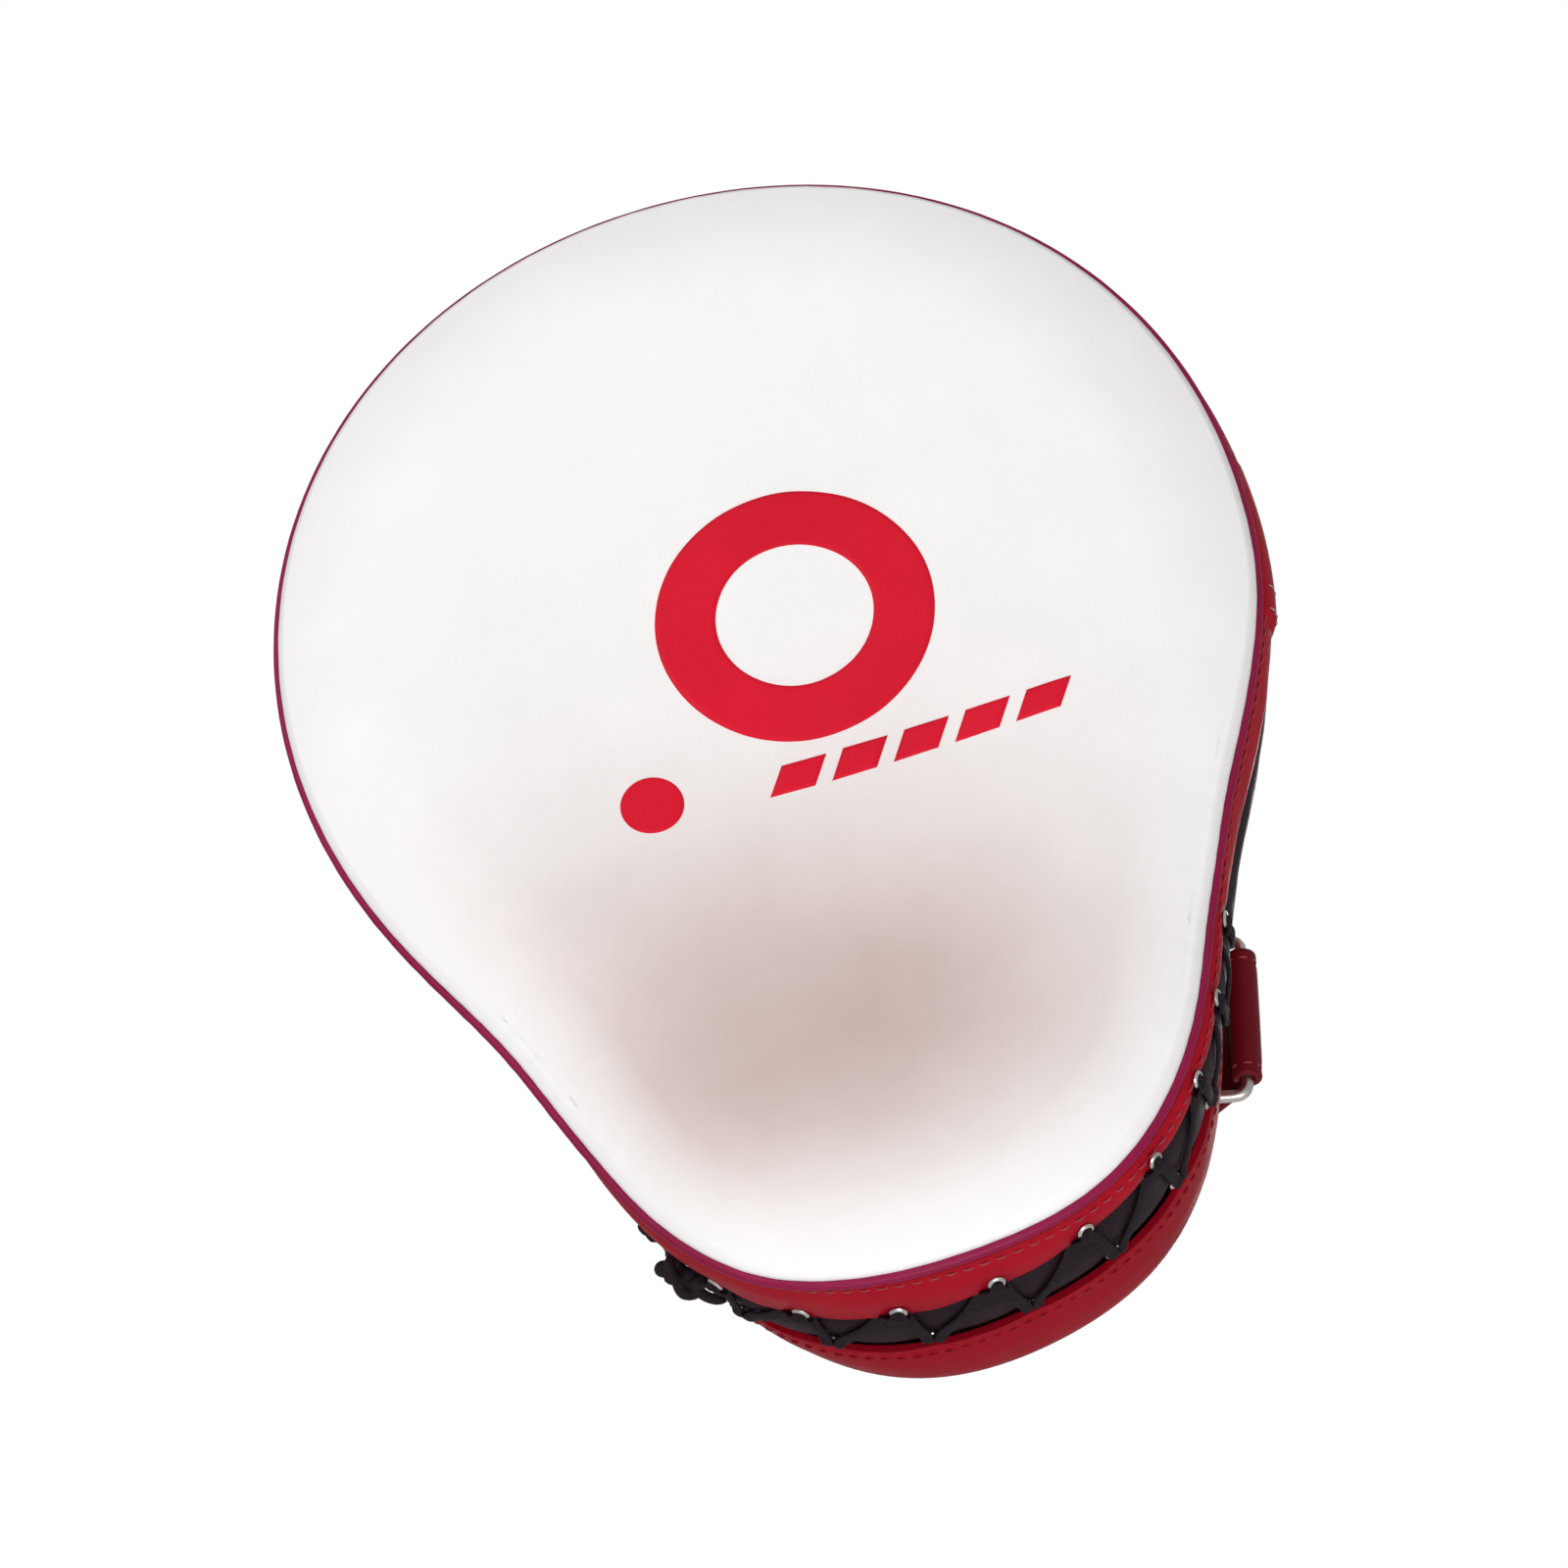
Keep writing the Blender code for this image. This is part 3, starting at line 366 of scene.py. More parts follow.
def foam(name, colour, worn):
    """Closed-cell foam."""
    shade, tree, bsdf, where = start(name, 0.9)
    cells = add(tree, "ShaderNodeTexVoronoi", Vector=where, Scale=700.0)
    tint = mix(tree, (cells, 0), rgba(colour), rgba(worn))
    rub = spread(tree, (cells, 0), 0.0, 0.8, 0.82, 0.98)
    surface(tree, bsdf, tint, rub, (cells, 0), 0.5, 0.0003)
    return shade


# The white face carries a pinkish grey of painted shade for its low hollow.
WHITE = leather("white_leather", (0.93, 0.925, 0.92), (0.90, 0.892, 0.885), 0.46, 1300.0, 0.10,
                stain=(0.60, 0.45, 0.42), Specular_IOR_Level=0.3)
PRINT = leather("red_print", (0.68, 0.007, 0.028), (0.61, 0.006, 0.024), 0.50, 1300.0, 0.12,
                Specular_IOR_Level=0.12)
CRIMSON = leather("crimson_piping", (0.27, 0.005, 0.058), (0.22, 0.004, 0.040), 0.45, 1500.0, 0.25,
                  Specular_IOR_Level=0.2)
RED = leather("red_leather", (0.41, 0.004, 0.017), (0.33, 0.003, 0.014), 0.50, 1100.0, 0.45,
              Specular_IOR_Level=0.1)
DEEP_RED = leather("deep_red_leather", (0.150, 0.004, 0.010), (0.110, 0.003, 0.008), 0.50, 1100.0, 0.45,
                   Specular_IOR_Level=0.15)
BACK_RED = leather("back_red_leather", (0.34, 0.003, 0.014), (0.28, 0.003, 0.012), 0.50, 1100.0, 0.45,
                   Specular_IOR_Level=0.1)
BLACK = leather("black_leather", (0.020, 0.010, 0.015), (0.013, 0.007, 0.010), 0.50, 1000.0, 0.55,
                Specular_IOR_Level=0.12)
LACE = woven("black_lace", (0.020, 0.012, 0.017), (0.032, 0.022, 0.029), 0.62, 5200.0, 0.5)
LINING = woven("black_lining", (0.035, 0.032, 0.036), (0.022, 0.020, 0.023), 0.85, 3600.0, 0.6)
HOOK = pile("hook_tape", (0.012, 0.012, 0.013), (0.045, 0.044, 0.046), 1100.0, 0.9)
LOOP = pile("loop_tape", (0.016, 0.015, 0.016), (0.060, 0.058, 0.060), 800.0, 0.8)
NICKEL = plated("nickel", (0.78, 0.76, 0.73), (0.50, 0.45, 0.40), 0.24)
RED_THREAD = woven("red_thread", (0.62, 0.110, 0.130), (0.52, 0.070, 0.095), 0.70, 9000.0, 0.4)
TONAL_THREAD = woven("tonal_thread", (0.48, 0.020, 0.036), (0.40, 0.012, 0.026), 0.70, 9000.0, 0.4)
DARK_THREAD = woven("dark_thread", (0.050, 0.042, 0.048), (0.030, 0.026, 0.030), 0.70, 9000.0, 0.4)
WHITE_THREAD = woven("white_thread", (0.80, 0.77, 0.75), (0.68, 0.62, 0.60), 0.70, 9000.0, 0.4)
HOLE = woven("eyelet_shadow", (0.006, 0.005, 0.006), (0.010, 0.008, 0.010), 0.95, 5200.0, 0.3)
DARK_FOAM = foam("dark_foam", (0.12, 0.12, 0.13), (0.07, 0.07, 0.08))
LIGHT_FOAM = foam("light_foam", (0.55, 0.53, 0.45), (0.42, 0.40, 0.33))

# ---------------------------------------------------------------- mesh building


class Build:
    """Collects grids of design points into one mesh."""

    def __init__(self):
        self.points, self.faces, self.finishes, self.values = [], [], [], {}
        self.count = 0

    def store(self, points, values=None):
        flat = np.asarray(points, float).reshape(-1, 3)
        first = self.count
        self.points.append(flat)
        self.count += len(flat)
        for name, value in (values or {}).items():
            given = np.broadcast_to(value, np.shape(points)[:-1]).ravel()
            self.values.setdefault(name, []).append((first, given))
        return first

    def grid(self, points, wrap_rows=False, wrap_columns=False, finish=0, values=None):
        """Quads over points[row, column]. Returns the vertex indices in the same layout."""
        rows, columns = points.shape[:2]
        index = self.store(points, values) + np.arange(rows * columns).reshape(rows, columns)
        a = index if wrap_rows else index[:-1]
        b = np.roll(index, -1, axis=0) if wrap_rows else index[1:]
        if wrap_columns:
            corners = (a, np.roll(a, -1, axis=1), np.roll(b, -1, axis=1), b)
        else:
            corners = (a[:, :-1], a[:, 1:], b[:, 1:], b[:, :-1])
        quads = np.stack(corners, axis=-1).reshape(-1, 4)
        self.faces.extend(quads.tolist())
        self.finishes.extend([finish] * len(quads))
        return index

    def fill(self, ring, finish=0):
        """One face over a ring of vertex indices."""
        self.faces.append([int(i) for i in ring])
        self.finishes.append(finish)

    def capped(self, points, finish=0):
        """A closed body from rings of points, with a flat face over each end."""
        index = self.grid(points, wrap_columns=True, finish=finish)
        self.fill(index[0], finish)
        self.fill(index[-1][::-1], finish)

    def fan(self, ring, point, values=None):
        """Triangles from a ring of vertex indices to a point."""
        tip = self.store(np.asarray(point, float).reshape(1, 3), values)
        ring = [int(i) for i in ring]
        for a, b in zip(ring, ring[1:] + ring[:1]):
            self.faces.append([a, b, tip])
            self.finishes.append(0)

    def piece(self, name, finishes, node=None, body="root", sharp=55.0):
        """Make the mesh an object that rides on a body and, where it has one, stands for a CAD node."""
        mesh = bpy.data.meshes.new(name)
        mesh.from_pydata(row(np.concatenate(self.points)).tolist(), [], self.faces)
        for finish in finishes:
            mesh.materials.append(finish)
        mesh.polygons.foreach_set("material_index", self.finishes)
        builder = bmesh.new()
        builder.from_mesh(mesh)
        bmesh.ops.recalc_face_normals(builder, faces=builder.faces)
        builder.to_mesh(mesh)
        builder.free()
        mesh.shade_smooth()
        mesh.set_sharp_from_angle(angle=math.radians(sharp))
        for key, parts in self.values.items():
            values = np.zeros(self.count, np.float32)
            for first, given in parts:
                values[first:first + len(given)] = given
            mesh.attributes.new(key, "FLOAT", "POINT").data.foreach_set("value", values)
        made = bpy.data.objects.new(name, mesh)
        bpy.context.scene.collection.objects.link(made)
        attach(made, body)
        if node:
            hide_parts(node)
        return made


def around_grid(section):
    """A section of (inset, depth) places, each one number or one per angle, swept round the outline."""
    return np.stack([rim(FULL, inset, depth) for inset, depth in section], axis=1)


def off_back(path):
    """Normals that all point off the back panel."""
    return np.zeros_like(path) + (0, 1, 0)


def stitches(build, path, normals, finish=1, pitch=3.3, length=2.3, width=0.62, height=0.34, sink=0.14):
    """A row of sewn stitches along a path: short arched threads with their ends sunk in the leather."""
    arcs, ups = arc_lengths(path), unit(normals)
    sides = unit(np.cross(np.gradient(path, axis=0), normals))
    count = int(arcs[-1] // pitch)
    share = np.linspace(0, 1, 7)
    first = (np.arange(count) + 0.5) * pitch - length / 2 + (arcs[-1] - count * pitch) / 2
    where = first[:, None] + share * length
    centre, up, side = (np.stack([np.interp(where, arcs, column) for column in part.T], axis=-1)
                        for part in (path, ups, sides))
    arch = np.sin(np.pi * share) ** 0.7
    centre = centre + up * (height * 0.55 * arch - sink * (1 - arch))[:, None]
    thick = (0.35 + 0.65 * arch)[:, None, None]
    turn = circle(6)[:, None]
    wide = side[:, :, None] * np.cos(turn) * width / 2
    high = up[:, :, None] * np.sin(turn) * height / 2
    for one in centre[:, :, None] + (wide + high) * thick:
        build.capped(one, finish)


def spline(knots, per_span):
    """Catmull-Rom points through knots of any dimension."""
    knots = np.asarray(knots, float)
    padded = np.concatenate((knots[:1], knots, knots[-1:]))
    share = np.linspace(0, 1, per_span, endpoint=False)[:, None]
    points = []
    for a, b, c, d in zip(padded, padded[1:], padded[2:], padded[3:]):
        points.append(0.5 * (2 * b + (c - a) * share + (2 * a - 5 * b + 4 * c - d) * share ** 2
                             + (3 * b - a - 3 * c + d) * share ** 3))
    return np.concatenate(points + [knots[-1:]])


def tube(build, path, normals, radius, sides=12, closed=True):
    """A round tube along a path. radius may vary along it."""
    ups = unit(normals)
    if closed:
        along = np.roll(path, -1, axis=0) - np.roll(path, 1, axis=0)
    else:
        along = np.gradient(path, axis=0)
    side = unit(np.cross(along, ups))
    turn = circle(sides)[:, None]
    reach = np.broadcast_to(radius, len(path))[:, None, None]
    points = path[:, None] + (side[:, None] * np.cos(turn) + ups[:, None] * np.sin(turn)) * reach
    index = build.grid(points, wrap_rows=closed, wrap_columns=True)
    if not closed:
        build.fan(index[0], path[0])
        build.fan(index[-1], path[-1])


def box_design(node):
    """Lowest and highest corners of a CAD node, in design millimetres."""
    low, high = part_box(node)
    return np.array(low) / MM + ORIGIN, np.array(high) / MM + ORIGIN


# ---------------------------------------------------------------- striking face

FACE_THICKNESS = 1.4
# Heights over the face: a mark's rim, its thickness above that, and its hidden underside.
MARK_LIFT, MARK_THICKNESS, MARK_BASE = 0.06, 0.30, -0.09
RING_INNER, BAR_COUNT, BAR_SLANT = 16.7, 5, 4.0
# Middle and reach, in millimetres, of the painted shade over the face's low hollow; it reaches further to the
# left and upward.
PAINTED_SHADE_X, PAINTED_SHADE_Z = -8.0, -78.0
PAINTED_SHADE_LEFT, PAINTED_SHADE_RIGHT, PAINTED_SHADE_UP, PAINTED_SHADE_DOWN = 62.0, 44.0, 44.0, 28.0


def face_point(x, z, lift=0.0):
    """Points on the outer face surface, raised by a lift."""
    uneven = 0.16 * swell(x, z) * np.clip(from_edge(x, z) / 12, 0, 1)
    return on_mitt(x, z, face_depth(x, z) - lift + uneven)


def make_face():
    build = Build()
    scales = np.concatenate((np.linspace(0.015, 0.76, 62), np.linspace(0.77, 0.962, 26)))
    rim_radius = face_outline(FULL)[:, None]
    radius = np.concatenate((rim_radius * scales, rim_radius - np.array((3.4, 2.7, 2.1, 1.6))), axis=1)
    x, z = polar(FULL[:, None], radius)
    front = face_point(x, z)
    edge = rim_radius - radius
    puckers = np.sin(83 * FULL) + np.sin(131 * FULL + 2) + np.sin(57 * FULL + 1)
    front[..., 1] += 0.10 * np.exp(-edge / 4) * puckers[:, None]
    roll = ((1.0, 0.05), (0.5, 0.55), (0.15, 1.15), (0.0, 1.8), (0.12, 2.4), (0.6, 2.8), (1.5, 2.95),
            (2.6, 2.9))
    rolled = around_grid([(inset + 0.03 * np.sin(83 * FULL), depth) for inset, depth in roll])
    inner_radius = np.concatenate((radius[:, :-4], rim_radius - 4.0), axis=1)[:, ::-1]
    inside = face_point(*polar(FULL[:, None], inner_radius), -FACE_THICKNESS)
    points = np.concatenate((front, rolled, inside), axis=1)
    # Painted shade: a pinkish grey mask over the face's low hollow, strongest in its middle and fading out
    # near the edge.
    from_x, from_z = x - PAINTED_SHADE_X, z - PAINTED_SHADE_Z
    wide = np.where(from_x > 0, PAINTED_SHADE_RIGHT, PAINTED_SHADE_LEFT)
    tall = np.where(from_z > 0, PAINTED_SHADE_UP, PAINTED_SHADE_DOWN)
    hollow = np.exp(-(from_x / wide) ** 2 / 2 - (from_z / tall) ** 2 / 2)
    stain = np.zeros(points.shape[:2])
    stain[:, :radius.shape[1]] = 0.98 * hollow * np.clip(edge / 18, 0, 1)
    # Painted shade where the face rolls under the piping.
    seam = np.zeros(points.shape[:2])
    seam[:, radius.shape[1] + 4:radius.shape[1] + 8] = 0.5
    index = build.grid(points, wrap_rows=True, values={"stain": stain, "seam": seam})
    build.fan(index[:, 0], face_point(0.0, OUTLINE_CENTRE_Z), values={"stain": stain[:, 0].mean()})
    build.fan(index[:, -1], face_point(0.0, OUTLINE_CENTRE_Z, -FACE_THICKNESS))
    made = build.piece("face_skin", [WHITE], "face_cover")


def raised_mark(name, node, grid_x, grid_z):
    """A thin printed mark with soft edges over a grid of face places, closed behind."""
    rows, columns = grid_x.shape
    row_edge = np.minimum(np.arange(rows), np.arange(rows)[::-1])[:, None]
    column_edge = np.minimum(np.arange(columns), np.arange(columns)[::-1])
    step = np.minimum(row_edge, column_edge)
    lift = MARK_LIFT + MARK_THICKNESS * np.select([step == 0, step == 1], [0.0, 0.75], 1.0)
    build = Build()
    top = build.grid(face_point(grid_x, grid_z, lift))
    base = build.grid(face_point(grid_x, grid_z, MARK_BASE))
    loop = [(0, j) for j in range(columns)] + [(i, columns - 1) for i in range(1, rows)]
    loop += [(rows - 1, j) for j in range(columns - 2, -1, -1)] + [(i, 0) for i in range(rows - 2, 0, -1)]
    for one, two in zip(loop, loop[1:] + loop[:1]):
        build.fill((top[one], top[two], base[two], base[one]))
    build.piece(name, [PRINT], node)


def turned_mark(x, z, profile, steps):
    """A (radius, lift) profile turned about a place on the face."""
    turn = circle(steps)
    return np.stack([face_point(x + r * np.sin(turn), z + r * np.cos(turn), lift) for r, lift in profile],
                    axis=1)


def make_target_ring():
    low, high = box_design("target_ring")
    (x, _, z), outer = (low + high) / 2, (high[0] - low[0]) / 2
    bevel, top = 0.25, MARK_LIFT + MARK_THICKNESS
    profile = [(outer, MARK_LIFT), (outer - bevel, top)]
    profile += [(r, top) for r in np.linspace(outer - 1.2, RING_INNER + 1.2, 9)]
    profile += [(RING_INNER + bevel, top), (RING_INNER, MARK_LIFT)]
    profile += [(r, MARK_BASE) for r in np.linspace(RING_INNER, outer, 9)]
    build = Build()
    build.grid(turned_mark(x, z, profile, 180), wrap_rows=True, wrap_columns=True)
    build.piece("target_ring_print", [PRINT], "target_ring")


def make_accent_disc():
    low, high = box_design("accent_disc")
    (x, _, z), radius = (low + high) / 2, (high[0] - low[0]) / 2
    top = MARK_LIFT + MARK_THICKNESS
    profile = [(radius, MARK_BASE), (radius, MARK_LIFT), (radius - 0.2, top)]
    profile += [(r, top) for r in np.linspace(radius - 0.8, 0.3, 9)]
    build = Build()
    index = build.grid(turned_mark(x, z, profile, 96), wrap_rows=True)
    build.fan(index[:, -1], face_point(x, z, top))
    build.fan(index[:, 0], face_point(x, z, MARK_BASE))
    build.piece("accent_disc_print", [PRINT], "accent_disc")


def make_accent_bars():
    columns = np.concatenate(([0, 0.02], np.linspace(0.12, 0.88, 11), [0.98, 1]))
    rows = np.concatenate(([0, 0.03], np.linspace(0.15, 0.85, 7), [0.97, 1]))[:, None]
    for number in range(1, BAR_COUNT + 1):
        low, high = box_design(f"accent_bar_{number}")
        grid_x = low[0] + (high[0] - BAR_SLANT - low[0]) * columns + BAR_SLANT * rows
        grid_z = low[2] + (high[2] - low[2]) * (rows + 0 * columns)
        raised_mark(f"accent_bar_print_{number}", f"accent_bar_{number}", grid_x, grid_z)


# ---------------------------------------------------------------- side wall


def lace_route():
    """The lace's stops as (angle, depth), zigzagging from front to back eyelets."""
    stops = []
    for index in range(EYELET_COUNT):
        stops.append((FRONT_ANGLES[index], FRONT_DEPTHS[index]))
        stops.append((BACK_ANGLES[index], BACK_DEPTHS[index]))
    return stops


def strand(first, second, samples):
    """Angles and depths along one crossing of the lace."""
    share = np.linspace(0, 1, samples)
    turn = (second[0] - first[0] + np.pi) % (2 * np.pi) - np.pi
    return first[0] + turn * share, first[1] + (second[1] - first[1]) * share


LACE_STOPS = lace_route()
LACE_PLACES = np.concatenate([wall_point(*strand(a, b, 26))[0] for a, b in zip(LACE_STOPS, LACE_STOPS[1:])])
EYELET_PLACES = np.concatenate((wall_point(FRONT_ANGLES, FRONT_DEPTHS)[0],
                                wall_point(BACK_ANGLES, BACK_DEPTHS)[0]))


def nearness(points, places, reach):
    """1 on the places, falling away over the reach."""
    flat = points.reshape(-1, 3)
    closest = np.full(len(flat), 1e9)
    for chunk in np.array_split(places, max(len(places) // 40, 1)):
        gap = np.linalg.norm(flat[:, None] - chunk[None], axis=2).min(axis=1)
        closest = np.minimum(closest, gap)
    return bell(closest, reach).reshape(points.shape[:2])


def wall_strip(depths):
    """Wall points at depths given per angle, pressed in under the lace and the eyelets."""
    theta = FULL[:, None]
    inset = wall_inset(theta, depths)
    plain = rim(theta, inset, depths)
    lace = nearness(plain, LACE_PLACES, 2.6)
    rings = nearness(plain, EYELET_PLACES, 4.2)
    uneven = 0.10 * swell(theta * 100, depths * 2.5, 0.8)
    inset = inset + 0.45 * lace + 0.35 * rings + uneven
    return rim(theta, inset, depths), lace, rings


def make_piping():
    build = Build()
    uneven = 0.02 * np.sin(61 * FULL) + 0.02 * np.sin(97 * FULL + 1)
    path = rim(FULL, -PIPING_PROUD, PIPING_DEPTH + uneven)
    tube(build, path, rim(FULL, -PIPING_PROUD - 1, PIPING_DEPTH) - path, PIPING_RADIUS * (1 + uneven), 16)
    build.piece("face_piping_cord", [CRIMSON], "face_piping")


def make_gusset():
    front = band_edges(FULL)[0]
    shares = np.concatenate(([0, 0.03, 0.07], np.linspace(0.12, 0.92, 19), [0.95, 0.98, 1.0]))
    depths = GUSSET_FRONT + (front - 0.25 - GUSSET_FRONT)[:, None] * shares
    outer, lace, rings = wall_strip(depths)
    edge = wall_inset(FULL, front - 0.3)
    folded = around_grid([(edge + 0.35, front - 0.12), (edge + 1.2, front - 0.05), (2.0, front - 0.05),
                          (1.7, (front + GUSSET_FRONT) / 2), (2.4, GUSSET_FRONT),
                          (1.4, GUSSET_FRONT - 0.25)])
    points = np.concatenate((outer, folded), axis=1)
    # Painted shade next to the piping, under the lace and round the eyelets.
    seam = np.zeros(points.shape[:2])
    seam[:, :3] = 0.8
    seam[:, :depths.shape[1]] += 0.25 * rings + 0.25 * lace
    build = Build()
    build.grid(points, wrap_rows=True, wrap_columns=True, values={"seam": seam})
    stitches(build, *wall_point(FULL_CLOSED, GUSSET_STITCHES), pitch=3.4, length=2.5)
    build.piece("gusset", [RED, RED_THREAD], "front_gusset")


JOIN_START, JOIN_END = math.radians(56.5), math.radians(73.5)
JOIN_FRONT, JOIN_WIDTH, JOIN_THICKNESS, JOIN_THICKENING = 5.6, 10.4, 0.15, 1.1


def make_gusset_join():
    """The thick overlap of the gusset strip's ends, sewn down at its edge."""
    share = np.linspace(0, 1, 40)[:, None]
    angles = JOIN_START + (JOIN_END - JOIN_START) * share
    across = np.linspace(0, 1, 22)
    depths = JOIN_FRONT + JOIN_WIDTH * across

    def rise(share, across):
        return (JOIN_THICKNESS + JOIN_THICKENING * share ** 1.2) * np.sin(np.pi * across) ** 0.5

    inset = wall_inset(angles, depths)
    end = np.clip((1 - share) / 0.04, 0, 1) ** 0.5
    top = rim(angles, inset - rise(share, across) * end - 0.2, depths)
    under = rim(angles, inset + 0.15, depths)[:, ::-1]
    build = Build()
    build.capped(np.concatenate((top, under), axis=1))
    low = np.linspace(6.6, 15.0, 30)
    for at in (0.93, 0.78):
        path, normals = wall_point(JOIN_START + (JOIN_END - JOIN_START) * at + 0 * low, low)
        swollen = rise(at, (low - JOIN_FRONT) / JOIN_WIDTH) + 0.12
        stitches(build, path + normals * swollen[:, None], normals, pitch=2.6, length=2.0, width=0.45,
                 height=0.2)
    build.piece("gusset_overlap", [RED, WHITE_THREAD], "gusset_join")


def make_welt():
    front, back = band_edges(FULL)
    shares = np.concatenate(([0, 0.015, 0.04], np.linspace(0.08, 0.92, 29), [0.96, 0.985, 1.0]))
    depths = (front + 0.12)[:, None] + (back - front - 0.24)[:, None] * shares
    outer, lace, _ = wall_strip(depths)
    inner = around_grid([(5.8, back - 0.12), (6.2, (front + back) / 2), (5.8, front + 0.12)])
    # Painted shade under the lace.
    seam = np.concatenate((0.35 * lace, np.zeros((AROUND, 3))), axis=1)
    build = Build()
    build.grid(np.concatenate((outer, inner), axis=1), wrap_rows=True, wrap_columns=True,
               values={"seam": seam})
    made = build.piece("lacing_band", [BLACK], "lacing_welt")


EYELET_PROFILE = ((1.05, -0.5), (1.05, 0.26), (1.12, 0.46), (1.28, 0.58), (1.48, 0.56), (1.70, 0.40),
                  (1.84, 0.15), (1.80, -0.05), (1.5, -0.3))


def make_eyelet(name, node, place, normal):
    """A rolled metal ring round a dark hole, facing along a normal."""
    basis = np.array(Vector(normal).to_track_quat("Z", "Y").to_matrix())
    turn = circle(32)

    def ring(radius, height):
        flat = np.stack((radius * np.cos(turn), radius * np.sin(turn), height + 0 * turn), axis=-1)
        return place + flat @ basis.T

    build = Build()
    build.grid(np.stack([ring(*at) for at in EYELET_PROFILE], axis=1), wrap_rows=True, wrap_columns=True)
    build.capped(np.stack((ring(1.12, -0.2), ring(1.12, 0.14))), finish=1)
    build.piece(name, [NICKEL, HOLE], node, sharp=40.0)


def make_eyelets():
    for side, angles, depths in (("front", FRONT_ANGLES, FRONT_DEPTHS), ("back", BACK_ANGLES, BACK_DEPTHS)):
        places, normals = wall_point(angles, depths, -0.12)
        for number, (place, normal) in enumerate(zip(places, normals), 1):
            make_eyelet(f"{side}_eyelet_ring_{number:02d}", f"{side}_eyelet_{number:02d}", place, normal)


def make_lace():
    """A flat lace that dips into each eyelet and lies pressed into the band between them."""
    half_width, half_thick, samples = 1.35, 0.5, 40
    turn = circle(14)
    section_side = half_width * squared_off(np.cos(turn), 0.6)
    section_up = half_thick * squared_off(np.sin(turn), 0.8)
    build = Build()
    for first, second in zip(LACE_STOPS, LACE_STOPS[1:]):
        angles, depths = strand(first, second, samples)
        ground, normals = wall_point(angles, depths)
        length = arc_lengths(ground)
        near_end = np.minimum(length, length[-1] - length)
        over_rim, dip = 0.95 * bell(near_end - 1.9, 1.3), -1.3 * bell(near_end, 0.9)
        line = ground + normals * (0.32 + over_rim + dip)[:, None]
        along = np.gradient(line, axis=0)
        side = unit(np.cross(along, normals))
        up = unit(np.cross(side, along))
        pinch = (0.68 + 0.32 * np.clip(near_end / 3.0, 0, 1))[:, None, None]
        points = (line[:, None] + side[:, None] * section_side[:, None] * pinch
                  + up[:, None] * section_up[:, None])
        index = build.grid(points, wrap_columns=True)
        build.fan(index[0], line[0])
        build.fan(index[-1], line[-1])
    build.piece("lace", [LACE], "wrist_lace")


KNOT_ANGLE, KNOT_DEPTH, KNOT_ARC_RADIUS = math.radians(216.5), 26.0, 95.0


def near_knot(across, along, lift):
    """Places on the side wall by millimetres round the rim and back from the knot's middle."""
    return wall_point(KNOT_ANGLE + across / KNOT_ARC_RADIUS, KNOT_DEPTH + along, lift)


def make_lace_knot():
    """The lace's ends, knotted over the band at the thumb side and lying along it."""
    build = Build()
    turn = circle(120)
    path, normals = near_knot(2.2 * np.sin(turn) + 2.5 * np.sin(2 * turn),
                              2.0 * np.cos(turn) - 2.5 * np.cos(2 * turn), 2.7 + 1.3 * np.sin(3 * turn))
    tube(build, path, normals, 1.55, 14)
    share = np.linspace(0, 1, 50)
    for across, along in ((-9.0, 6.5), (-8.0, -4.5)):
        path, normals = near_knot(across * share, along * share ** 1.6 + 1.2 * np.sin(np.pi * share),
                                  2.4 - 1.3 * share ** 0.6 + 0.5 * np.sin(np.pi * share))
        tube(build, path, normals, 1.05 * (1 - share ** 14) + 0.1, 12, closed=False)
    build.piece("lace_knot", [LACE])


def make_back():
    back = band_edges(FULL)[1]
    shares = np.concatenate(([0, 0.02], np.linspace(0.06, 1.0, 17)))
    depths = (back + 0.15)[:, None] + (BACK_SHOULDER - back - 0.15)[:, None] * shares
    wall, lace, rings = wall_strip(depths)
    knots = ((-0.8, BACK_SHOULDER), (0.1, 47.2), (2.0, 50.2), (5.0, 52.6), (9.0, 54.1), (13.5, 54.8),
             (LID_INSET, BACK_DEPTH))
    lid = spline(knots, 4)[1:]
    rounded = around_grid(lid)
    flat = np.stack([rim(FULL, LID_INSET * scale, BACK_DEPTH, scale)
                     for scale in np.linspace(0.97, 0.03, 34)], axis=1)
    outer = np.concatenate((wall, rounded, flat), axis=1)
    lip = around_grid([(0.3, back + 0.12), (1.2, back + 0.2)])
    shoulder = around_grid([(1.2, BACK_SHOULDER)])
    inner = around_grid(lid[::-3] + (BACK_SKIN, -0.5))[:, ::-1]
    inner_flat = flat[:, ::-3][:, ::-1] - (0, BACK_SKIN, 0)
    points = np.concatenate((outer[:, ::-1], lip, shoulder, inner, inner_flat), axis=1)
    # Painted shade round the eyelets.
    seam = np.zeros(points.shape[:2])
    wall_first = outer.shape[1] - wall.shape[1]
    seam[:, wall_first:outer.shape[1]] = (0.25 * rings)[:, ::-1]
    build = Build()
    index = build.grid(points, wrap_rows=True, values={"seam": seam})
    build.fan(index[:, 0], on_mitt(0.0, OUTLINE_CENTRE_Z, BACK_DEPTH))
    build.fan(index[:, -1], on_mitt(0.0, OUTLINE_CENTRE_Z, BACK_DEPTH - BACK_SKIN))
    stitches(build, *wall_point(FULL_CLOSED, band_edges(FULL_CLOSED)[1] + BACK_STITCHES))
    build.piece("back_shell", [BACK_RED, TONAL_THREAD], "back_cover")


# ---------------------------------------------------------------- hand side


